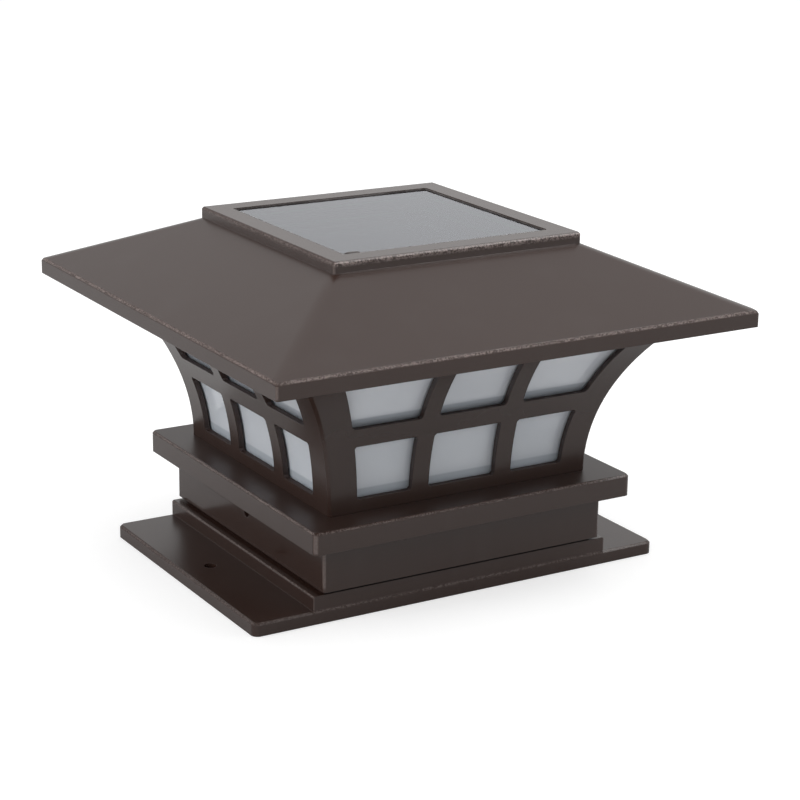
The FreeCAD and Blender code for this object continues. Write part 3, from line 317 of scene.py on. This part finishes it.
def cell_silicon():
    """Dark blue silicon with printed silver fingers and two bus bars."""
    finish = material("cell_silicon")
    x = finish.place()[0]
    grains = finish.noise(420.0, 0.0)
    fingers = ((x / (2.0 * MM)) % 1.0).near(0.5, 0.07)
    bars = abs(abs(x) - 20.0 * MM).near(0.0, 0.9 * MM)
    silver = fingers.most(bars)
    blue = finish.mix(grains.ramp(0.35, 0.7), (0.010, 0.014, 0.040), (0.020, 0.026, 0.070))
    colour = finish.mix(silver * 0.6, blue, (0.34, 0.35, 0.37))
    return finish.surface(Base_Color=colour, Roughness=0.20 + silver * 0.15, IOR=1.7,
                          Normal=finish.bump(silver, 0.02 * MM))


def circuit_board():
    """Green solder mask over copper tracks."""
    finish = material("circuit_board")
    x, y = finish.place()[:2]
    weave = finish.noise(900.0, 1.0)
    tracks = ((x / (3.0 * MM) + (y / (11.0 * MM)).math("FLOOR") * 0.37) % 1.0).near(
        0.5, 0.18)
    colour = finish.mix(tracks * 0.7, (0.010, 0.075, 0.030), (0.030, 0.150, 0.055))
    return finish.surface(Base_Color=colour, Roughness=0.32 + weave * 0.1,
                          Normal=finish.bump(tracks + weave * 0.2, 0.03 * MM))


def foam_tape():
    """Dark foam with open cells."""
    finish = material("foam_tape")
    cells = finish.noise(2600.0, 2.0)
    colour = finish.mix(cells, (0.050, 0.050, 0.052), (0.110, 0.110, 0.115))
    return finish.surface(Base_Color=colour, Roughness=0.75 + cells * 0.2,
                          Normal=finish.bump(cells, 0.12 * MM))


def wire_cover(name, colour, pale):
    """Soft vinyl insulation."""
    finish = material(name)
    dull = finish.noise(500.0, 2.0)
    return finish.surface(Base_Color=finish.mix(dull, colour, pale),
                          Roughness=0.38 + dull * 0.15,
                          Normal=finish.bump(dull, 0.02 * MM))


def rubber_seal():
    """Black rubber with a little dust on it."""
    finish = material("silicone_rubber")
    dust = finish.noise(700.0, 3.0)
    colour = finish.mix(dust.ramp(0.4, 0.8), (0.020, 0.020, 0.021), (0.055, 0.054, 0.052))
    return finish.surface(Base_Color=colour, Roughness=0.55 + dust * 0.2,
                          Normal=finish.bump(dust, 0.03 * MM))


def panel_sealant():
    """Dark silicone round the glass, with dust in it."""
    finish = material("panel_sealant")
    dust = finish.noise(900.0, 3.0)
    colour = finish.mix(dust.ramp(0.4, 0.8), (0.040, 0.032, 0.030), (0.09, 0.078, 0.075))
    return finish.surface(Base_Color=colour, Roughness=0.26 + dust * 0.25,
                          Normal=finish.bump(dust, 0.03 * MM))


def white_plastic():
    """Glossy white moulded plastic that throws the light outward."""
    finish = material("white_reflector_plastic")
    cloud = finish.noise(40.0, 2.0)
    grain = finish.noise(2400.0, 1.0)
    colour = finish.mix(cloud, (0.76, 0.76, 0.74), (0.82, 0.82, 0.80))
    return finish.surface(Base_Color=colour, Roughness=0.22 + grain * 0.08,
                          Normal=finish.bump(grain, 0.008 * MM))


def black_plastic():
    """Fine-grained black plastic of the switch."""
    finish = material("black_switch_plastic")
    grain = finish.noise(2600.0, 2.0)
    colour = finish.mix(grain, (0.014, 0.014, 0.015), (0.030, 0.030, 0.032))
    return finish.surface(Base_Color=colour, Roughness=0.34 + grain * 0.14,
                          Normal=finish.bump(grain, 0.02 * MM))


def bright_metal(name, colour, dull, roughness, scale=600.0):
    """Plated metal with fine scratches and dull patches."""
    finish = material(name)
    patches = finish.noise(scale, 3.0)
    lines = finish.noise(2200.0, 1.0, stretch=(1.0, 1.0, 0.08))
    return finish.surface(
        Base_Color=finish.mix(patches.ramp(0.35, 0.75), colour, dull), Metallic=1.0,
        Roughness=roughness + patches * 0.14 + lines * 0.06,
        Normal=finish.bump(lines, 0.008 * MM))


def battery_wrap():
    """Shrink sleeve with plain bands and bare metal at the ends."""
    finish = material("battery_sleeve")
    x = finish.place()[0]
    low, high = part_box("battery_cell")
    bare = x.ramp(low.x + 1.2 * MM, low.x + 1.4 * MM, 1.0, 0.0).most(
        x.ramp(high.x - 2.6 * MM, high.x - 2.4 * MM))
    band = x.ramp(high.x - 15.0 * MM, high.x - 14.8 * MM)
    wrinkle = finish.noise(300.0, 2.0, stretch=(0.3, 1.0, 1.0))
    sleeve = finish.mix(band, (0.030, 0.190, 0.080), (0.62, 0.63, 0.62))
    colour = finish.mix(bare, sleeve, (0.62, 0.62, 0.60))
    return finish.surface(Base_Color=colour, Metallic=bare,
                          Roughness=0.26 + wrinkle * 0.12,
                          Normal=finish.bump(wrinkle, 0.05 * MM))


def board_parts():
    """Black moulded packages with pale ends where they are soldered."""
    finish = material("component_packages")
    z = finish.place()[2]
    grain = finish.noise(1800.0, 2.0)
    foot = z.ramp(BOARD_TOP, BOARD_TOP + 0.2 * MM, 1.0, 0.0)
    colour = finish.mix(foot, (0.020, 0.020, 0.022), (0.50, 0.50, 0.48))
    return finish.surface(Base_Color=colour, Roughness=0.42 + grain * 0.15,
                          Normal=finish.bump(grain, 0.02 * MM))


def led_package():
    """White LED frames with a yellow phosphor window in the top of each."""
    finish = material("led_phosphor")
    x, y, z = finish.place()
    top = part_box("leds")[1].z
    pitch_x, pitch_y = 14.0 * MM, 15.0 * MM
    off_x = abs(((x + pitch_x / 2) / pitch_x + 0.5) % 1.0 - 0.5) * pitch_x
    off_y = abs((y / pitch_y + 0.5) % 1.0 - 0.5) * pitch_y
    round_window = ((off_x ** 2.0 + off_y ** 2.0) ** 0.5).ramp(
        1.05 * MM, 1.15 * MM, 1.0, 0.0) * z.ramp(top - 0.1 * MM, top - 0.05 * MM)
    grain = finish.noise(3000.0, 1.0)
    colour = finish.mix(round_window, (0.78, 0.78, 0.76), (0.80, 0.62, 0.10))
    return finish.surface(Base_Color=colour, Roughness=0.3 + grain * 0.1,
                          Normal=finish.bump(grain, 0.01 * MM))


def dress_nodes():
    """Give every CAD node the finish named by its material slot."""
    finishes = {
        "brown_plastic": brown_plastic(), "frosted_pane": frosted_pane(),
        "panel_glass": panel_glass(), "cell_silicon": cell_silicon(),
        "board": circuit_board(), "tape": foam_tape(), "foam": foam_tape(),
        "red_wire": wire_cover("red_vinyl", (0.42, 0.018, 0.014), (0.50, 0.035, 0.028)),
        "black_wire": wire_cover("black_vinyl", (0.014, 0.014, 0.015),
                                 (0.030, 0.030, 0.031)),
        "rubber_seal": rubber_seal(), "white_plastic": white_plastic(),
        "black_plastic": black_plastic(),
        "steel": bright_metal("plated_steel", (0.56, 0.55, 0.53), (0.42, 0.41, 0.39), 0.28),
        "battery_can": battery_wrap(),
        "spring_steel": bright_metal("nickel_strip", (0.63, 0.61, 0.57),
                                     (0.50, 0.48, 0.45), 0.24),
        "components": board_parts(), "led_package": led_package()}
    for item in NODES.values():
        for entry in item.material_slots:
            slot = entry.material.name.split(".")[0]
            entry.material = finishes[slot]
    return finishes


FINISHES = dress_nodes()


# ------------------------------------------------------------ modelling tools

def begin(kind, name, **values):
    """A new primitive, alone in the selection."""
    bpy.ops.object.select_all(action="DESELECT")
    getattr(bpy.ops.mesh, "primitive_%s_add" % kind)(**values)
    piece = bpy.context.active_object
    piece.name = name
    return piece


def only(piece):
    """Select one object and make it active."""
    bpy.ops.object.select_all(action="DESELECT")
    piece.select_set(True)
    bpy.context.view_layer.objects.active = piece


def pick(piece, wanted):
    """Go to edit mode with the faces selected whose centre and normal pass a test."""
    only(piece)
    bpy.ops.object.mode_set(mode="EDIT")
    bpy.ops.mesh.select_mode(type="FACE")
    bpy.ops.mesh.select_all(action="DESELECT")
    bpy.ops.object.mode_set(mode="OBJECT")
    for face in piece.data.polygons:
        face.select = wanted(face.center, face.normal)
    bpy.ops.object.mode_set(mode="EDIT")


def pull(z, scale=1.0):
    """Extrude the picked faces along Z, and scale them about the upright axis."""
    bpy.ops.mesh.extrude_region_move(TRANSFORM_OT_translate={"value": (0.0, 0.0, z)})
    if scale != 1.0:
        bpy.ops.transform.resize(value=(scale, scale, 1.0),
                                 center_override=(0.0, 0.0, 0.0))


def done_editing():
    """Back to object mode."""
    bpy.ops.object.mode_set(mode="OBJECT")


def modify(piece, kind, **settings):
    """Add a modifier and apply it."""
    only(piece)
    modifier = piece.modifiers.new(kind.lower(), kind)
    for name, setting in settings.items():
        setattr(modifier, name, setting)
    bpy.ops.object.modifier_apply(modifier=modifier.name)


def copies(model, places, name):
    """The model copied to each place, joined under one name, the model itself gone."""
    made = []
    for place in places:
        only(model)
        bpy.ops.object.duplicate(linked=False)
        bpy.context.active_object.location = place
        made.append(bpy.context.active_object)
    bpy.data.objects.remove(model)
    for piece in made:
        piece.select_set(True)
    bpy.context.view_layer.objects.active = made[0]
    bpy.ops.object.join()
    made[0].name = name
    return made[0]


def fit_out(piece, body, slot, replaced=None, angle=40.0):
    """Settle a finished piece: origin, smooth shading, finish, body and slot."""
    only(piece)
    bpy.ops.object.transform_apply(location=True, rotation=True, scale=True)
    bpy.ops.object.shade_smooth_by_angle(angle=math.radians(angle))
    piece.data.materials.clear()
    piece.data.materials.append(FINISHES[slot])
    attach(piece, body)
    if replaced:
        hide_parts(replaced)
    return piece


# ------------------------------------------------------------ screws

def screw_places(node):
    """Where a CAD node's screws stand, and the sizes and the side of their heads."""
    one_screw, same_level, head_play = 8.0 * MM, 0.05 * MM, 0.97
    points = [vertex.co for vertex in NODES[node].data.vertices]
    centres = []
    for point in points:
        near = [group for group in centres
                if (group[0].xy - point.xy).length < one_screw]
        if near:
            near[0].append(point)
        else:
            centres.append([point])
    spots = []
    for group in centres:
        xs, ys = ([point[axis] for point in group] for axis in range(2))
        spots.append(((min(xs) + max(xs)) / 2, (min(ys) + max(ys)) / 2))
    low, high = min(p.z for p in points), max(p.z for p in points)
    x, y = spots[0]

    def reach(z):
        return max(math.hypot(p.x - x, p.y - y) for p in centres[0]
                   if abs(p.z - z) < same_level)

    levels = sorted({round(point.z, 5) for point in points})
    head_above = reach(high) > reach(low)
    head = levels[-1] - levels[-2] if head_above else levels[1] - levels[0]
    seat = high - head if head_above else low + head
    length = seat - low if head_above else high - seat
    wide, narrow = max(reach(high), reach(low)), min(reach(high), reach(low))
    return spots, seat, head, length, wide * head_play, narrow, head_above


def cross_head_screw(head_radius, head, radius, length):
    """A pan head screw with a cross recess: the head below z = 0, the shank above."""
    core, turns = radius * 0.82, 8
    screw = begin("cylinder", "screw", vertices=28, radius=head_radius, depth=head,
                  location=(0.0, 0.0, -head / 2))
    pick(screw, lambda centre, normal: normal.z < -0.9)
    bpy.ops.mesh.bevel(offset=head * 0.55, segments=4, affect="EDGES")
    done_editing()
    pick(screw, lambda centre, normal: normal.z > 0.9)
    bpy.ops.mesh.inset(thickness=head_radius - core)
    thread = radius / core
    pull(length * 0.12)
    pitch = length * 0.75 / turns
    for _ in range(turns):
        pull(pitch * 0.45, thread)
        pull(pitch * 0.15)
        pull(pitch * 0.40, 1.0 / thread)
    pull(length * 0.13, 0.25)
    done_editing()
    for turn in (0.0, math.pi / 2):
        slot = begin("cube", "recess", size=1.0, location=(0.0, 0.0, -head),
                     rotation=(0.0, 0.0, turn))
        slot.scale = (head_radius * 1.05, head_radius * 0.24, head * 1.1)
        only(slot)
        bpy.ops.object.transform_apply(location=False, rotation=True, scale=True)
        modify(screw, "BOOLEAN", operation="DIFFERENCE", object=slot, solver="EXACT")
        bpy.data.objects.remove(slot)
    return screw


def make_screws(node):
    """Every screw of one CAD node, from one model, heads the way the node's are."""
    spots, seat, head, length, head_radius, radius, head_above = screw_places(node)
    model = cross_head_screw(head_radius, head, radius, length)
    if head_above:
        only(model)
        model.rotation_euler = (math.pi, 0.0, 0.0)
        bpy.ops.object.transform_apply(location=False, rotation=True, scale=False)
    joined = copies(model, [(x, y, seat) for x, y in spots], node + "_cross_head")
    fit_out(joined, "lamp", "steel", node)


# ------------------------------------------------------------ solar panel and leads

def make_panel_sealant():
    """A bead of sealant round the glass, laid by hand, with a drop at one corner."""
    glass_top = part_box("panel_glass")[1].z
    half, wide, tall = 47.8 * MM, 0.8 * MM, 0.35 * MM
    bead = begin("plane", "panel_sealant", size=2 * half,
                 location=(0.0, 0.0, glass_top - 0.05 * MM))
    pick(bead, lambda centre, normal: True)
    bpy.ops.mesh.inset(thickness=wide)
    done_editing()
    pick(bead, lambda centre, normal: centre.xy.length < 1.0 * MM)
    bpy.ops.mesh.delete(type="FACE")
    bpy.ops.mesh.select_all(action="SELECT")
    bpy.ops.mesh.subdivide(number_cuts=11)
    pull(tall)
    done_editing()
    pick(bead, lambda centre, normal: normal.z > 0.9 and centre.z > 0.2 * MM)
    bpy.ops.mesh.inset(thickness=0.25 * MM)
    bpy.ops.transform.translate(value=(0.0, 0.0, 0.12 * MM))
    bpy.ops.transform.vertex_random(offset=0.06 * MM, uniform=1.0, seed=4)
    done_editing()
    drop = begin("uv_sphere", "drop", segments=24, ring_count=12, radius=1.0,
                 location=(-42.2 * MM, -44.6 * MM, glass_top + 0.05 * MM),
                 scale=(3.6 * MM, 1.1 * MM, 0.5 * MM))
    only(drop)
    bead.select_set(True)
    bpy.context.view_layer.objects.active = bead
    bpy.ops.object.join()
    fit_out(bead, "lamp", "rubber_seal", angle=60.0)
    bead.data.materials[0] = panel_sealant()


def make_lead(colour, side):
    """One panel lead as a smooth wire along the route of its CAD solid."""
    node = "panel_lead_" + colour
    low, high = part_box(node)
    y = (low.y + high.y) / 2
    data = bpy.data.curves.new(node + "_wire", "CURVE")
    data.dimensions = "3D"
    spline = data.splines.new("NURBS")
    route = ((14.0, high.z / MM), (14.0, 134.0), (14.0, 128.0), (0.0, 120.0),
             (0.0, 113.0), (0.0, 104.0), (side * 1.2, 84.0), (0.0, 64.0),
             (0.0, low.z / MM))
    spline.points.add(len(route) - 1)
    for point, (x, z) in zip(spline.points, route):
        point.co = (x * MM, y, z * MM, 1.0)
    spline.use_endpoint_u = True
    spline.order_u = 3
    data.bevel_depth = 0.8 * MM
    data.bevel_resolution = 5
    data.use_fill_caps = True
    wire = bpy.data.objects.new(node + "_wire", data)
    bpy.context.scene.collection.objects.link(wire)
    only(wire)
    bpy.ops.object.convert(target="MESH")
    fit_out(bpy.context.active_object, "lamp", colour + "_wire", node)


def make_grommet():
    """Rubber grommet with a groove round it that grips the soffit plate."""
    low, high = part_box("lead_grommet")
    rim, groove, bore, lip = 6.0 * MM, 4.5 * MM, 2.8 * MM, 1.0 * MM
    tall = high.z - low.z
    ring = begin("cylinder", "lead_grommet_ring", vertices=36, radius=rim * 0.965,
                 depth=tall, location=(0.0, 0.0, (low.z + high.z) / 2))
    pick(ring, lambda centre, normal: True)
    for level in (low.z + lip, high.z - lip):
        bpy.ops.mesh.select_all(action="SELECT")
        bpy.ops.mesh.bisect(plane_co=(0.0, 0.0, level), plane_no=(0.0, 0.0, 1.0))
    done_editing()
    pick(ring, lambda centre, normal: abs(normal.z) < 0.1 and abs(centre.z) < tall / 2 - lip)
    bpy.ops.mesh.inset(thickness=0.02 * MM, use_boundary=True)
    bpy.ops.transform.resize(value=(groove / rim, groove / rim, 1.0),
                             center_override=(0.0, 0.0, 0.0))
    done_editing()
    pick(ring, lambda centre, normal: abs(normal.z) > 0.9 and centre.xy.length < 1.0 * MM)
    bpy.ops.mesh.inset(thickness=rim * 0.965 - bore)
    bpy.ops.mesh.bridge_edge_loops()
    done_editing()
    modify(ring, "BEVEL", width=0.35 * MM, segments=3, limit_method="ANGLE")
    fit_out(ring, "lamp", "rubber_seal", "lead_grommet")


# ------------------------------------------------------------ battery, switch, LEDs

def make_cell():
    """The rechargeable cell: sleeved can, crimped shoulder and raised contact."""
    low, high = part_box("battery_cell")
    radius = (high.z - low.z) / 2
    nub, nub_radius = 1.2 * MM, 2.7 * MM
    end = high.x - nub
    long = end - low.x
    cell = begin("cylinder", "battery_cell_sleeved", vertices=48, radius=radius, depth=long)
    pick(cell, lambda centre, normal: abs(normal.z) > 0.9)
    bpy.ops.mesh.bevel(offset=0.7 * MM, segments=4, affect="EDGES")
    done_editing()
    pick(cell, lambda centre, normal: normal.z > 0.95 and centre.xy.length < MM)
    bpy.ops.mesh.inset(thickness=1.1 * MM)
    pull(-0.5 * MM, 0.96)
    bpy.ops.mesh.inset(thickness=radius - 0.7 * MM - 1.1 * MM - nub_radius - 0.5 * MM)
    pull(0.5 * MM + nub, 0.94)
    bpy.ops.mesh.bevel(offset=0.3 * MM, segments=3, affect="EDGES")
    done_editing()
    pick(cell, lambda centre, normal: normal.z < -0.95 and centre.xy.length < MM)
    bpy.ops.mesh.inset(thickness=0.9 * MM)
    pull(0.2 * MM, 0.97)
    done_editing()
    only(cell)
    cell.rotation_euler = (0.0, math.pi / 2, 0.0)
    cell.location = (low.x + long / 2, (low.y + high.y) / 2, (low.z + high.z) / 2)
    fit_out(cell, "lamp", "battery_can", "battery_cell", 35.0)


def make_slider():
    """The switch's slider, with grip ridges on its finger end."""
    strips = 7
    low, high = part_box("switch_slider")
    middle, size = (low + high) / 2, high - low
    slider = begin("cube", "switch_slider_ridged", size=1.0)
    slider.scale = size
    slider.location = middle
    only(slider)
    bpy.ops.object.transform_apply(location=True, rotation=True, scale=True)
    pick(slider, lambda centre, normal: normal.z < -0.9)
    bpy.ops.mesh.subdivide(number_cuts=strips - 1)
    done_editing()
    step = size.x / strips
    pick(slider, lambda centre, normal: normal.z < -0.9
         and int((centre.x - low.x) / step) % 2 == 1)
    pull(0.45 * MM)
    done_editing()
    modify(slider, "BEVEL", width=0.1 * MM, segments=2, limit_method="ANGLE")
    fit_out(slider, "switch", "black_plastic", "switch_slider")


def make_leds():
    """LED packages: a white cup with a sunk phosphor window and two side tabs."""
    low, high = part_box("leds")
    tall = high.z - low.z
    tab_height = 0.15 * MM
    xs = sorted({round(vertex.co.x, 5) for vertex in NODES["leds"].data.vertices})
    ys = sorted({round(vertex.co.y, 5) for vertex in NODES["leds"].data.vertices})
    size_x, size_y = xs[1] - xs[0], ys[1] - ys[0]
    model = begin("cube", "led", size=1.0, location=(0.0, 0.0, tall / 2))
    model.scale = (size_x * 0.9, size_y, tall)
    only(model)
    bpy.ops.object.transform_apply(location=True, rotation=True, scale=True)
    modify(model, "BEVEL", width=0.12 * MM, segments=2, limit_method="ANGLE")
    pick(model, lambda centre, normal: normal.z > 0.99)
    bpy.ops.mesh.inset(thickness=0.35 * MM)
    pull(-0.25 * MM, 0.85)
    done_editing()
    pick(model, lambda centre, normal: abs(normal.x) > 0.99)
    bpy.ops.transform.resize(value=(1.0, 0.6, 0.5),
                             center_override=(0.0, 0.0, tab_height))
    bpy.ops.mesh.extrude_faces_move(TRANSFORM_OT_shrink_fatten={"value": 0.04 * size_x})
    done_editing()
    spots = [((xs[i] + xs[i + 1]) / 2, (ys[j] + ys[j + 1]) / 2, low.z)
             for i in range(0, len(xs), 2) for j in range(0, len(ys), 2)]
    fit_out(copies(model, spots, "led_packages"), "lamp", "led_package", "leds")


make_panel_sealant()
for lead_colour, lead_side in (("red", -1.0), ("black", 1.0)):
    make_lead(lead_colour, lead_side)
make_grommet()
make_cell()
make_slider()
make_leds()
for screw_node in ("soffit_screws", "pod_screws", "collar_screws", "roof_screws",
                   "board_screws", "led_screws"):
    make_screws(screw_node)


# ------------------------------------------------------------ camera, light and floor

AZIMUTH, ELEVATION, ROLL = (math.radians(angle) for angle in (-31.06, 16.96, 0.811))
# How far the camera stands off the origin, and how far the origin lies off its middle.
DISTANCE = 0.9649
ASIDE, BELOW = -0.00723, -0.0626
SENSOR_WIDTH, LENS = 36.0, 99.9
# What the lamps are turned to, how far the floor lies under the base, and how brightly
# it is seen directly and in reflections.
LAMP_TARGET = Vector((0.0, 0.0, 0.08))
FLOOR_LEVEL = -0.0002
FLOOR_SEEN, FLOOR_MIRRORED = 0.56, 0.10


def make_camera():
    """The photograph's viewpoint."""
    right = Vector((math.cos(AZIMUTH), math.sin(AZIMUTH), 0.0))
    back = Vector((math.sin(AZIMUTH) * math.cos(ELEVATION),
                   -math.cos(AZIMUTH) * math.cos(ELEVATION), math.sin(ELEVATION)))
    up = back.cross(right)
    level = right * math.cos(ROLL) + up * math.sin(ROLL)
    tall = up * math.cos(ROLL) - right * math.sin(ROLL)
    data = bpy.data.cameras.new("photo_camera")
    data.sensor_width = SENSOR_WIDTH
    data.lens = LENS
    camera = bpy.data.objects.new("photo_camera", data)
    bpy.context.scene.collection.objects.link(camera)
    place = back * DISTANCE - level * ASIDE - tall * BELOW
    camera.matrix_world = Matrix((
        (level.x, tall.x, back.x, place.x), (level.y, tall.y, back.y, place.y),
        (level.z, tall.z, back.z, place.z), (0.0, 0.0, 0.0, 1.0)))
    data.clip_start, data.clip_end = 0.05, 50.0
    bpy.context.scene.camera = camera


def make_lamp(name, place, size, power, seen_in_gloss):
    """A square soft box that faces the middle of the object."""
    data = bpy.data.lights.new(name, "AREA")
    data.size = size
    data.energy = power
    lamp = bpy.data.objects.new(name, data)
    bpy.context.scene.collection.objects.link(lamp)
    lamp.location = place
    lamp.rotation_euler = (LAMP_TARGET - Vector(place)).to_track_quat("-Z", "Y").to_euler()
    lamp.visible_glossy = seen_in_gloss


def make_world():
    """White studio: seen as white, and dimmer in reflections and where it lights."""
    world = bpy.data.worlds.new("studio")
    bpy.context.scene.world = world
    finish = Finish(world)
    where = finish.node("ShaderNodeTexCoord").outputs["Generated"]
    parts = finish.node("ShaderNodeSeparateXYZ", values={"Vector": where}).outputs
    x, z = Number(finish, parts["X"]), Number(finish, parts["Z"])
    path = finish.node("ShaderNodeLightPath").outputs
    seen = Number(finish, path["Is Camera Ray"]).most(
        Number(finish, path["Is Transmission Ray"]))
    mirrored = Number(finish, path["Is Glossy Ray"])
    lit = (x + z * 0.4).ramp(-0.1, 0.85, 0.58, 0.95)
    diffuse = z.ramp(-0.2, 1.0, 0.39, 0.76)
    strength = seen + (1.0 - seen) * (mirrored * lit + (1.0 - mirrored) * diffuse)
    shader = finish.node("ShaderNodeBackground",
                         values={"Color": rgba((1.0, 1.0, 1.0)), "Strength": strength})
    finish.node("ShaderNodeOutputWorld", values={"Surface": shader.outputs[0]})


def make_floor():
    """A pale floor that keeps the light's soft shadow."""
    bpy.ops.mesh.primitive_plane_add(size=12.0, location=(0.0, 0.0, FLOOR_LEVEL))
    floor = bpy.context.active_object
    floor.name = "studio_floor"
    finish = material("pale_floor")
    path = finish.node("ShaderNodeLightPath").outputs
    seen = Number(finish, path["Is Camera Ray"]).most(
        Number(finish, path["Is Transmission Ray"]))
    mirrored = Number(finish, path["Is Glossy Ray"])
    grain = finish.noise(3.0, 2.0)
    paper = finish.mix(grain, (0.55, 0.55, 0.55), (0.57, 0.57, 0.57))
    floor.data.materials.append(finish.surface(
        Base_Color=paper, Roughness=0.9, Emission_Color=(1.0, 1.0, 1.0),
        Emission_Strength=seen * FLOOR_SEEN + mirrored * FLOOR_MIRRORED))


make_camera()
make_world()
make_lamp("left_box", (-1.42, -0.22, 0.80), 1.0, 12.0, False)
make_lamp("right_box", (1.30, -0.80, 0.70), 0.8, 3.6, False)
make_lamp("top_box", (0.2, 0.2, 1.6), 1.4, 8.0, False)
make_lamp("glint_box", (0.80, -0.48, 1.34), 0.40, 4.0, True)
make_floor()
bpy.context.scene.view_settings.view_transform = "Standard"
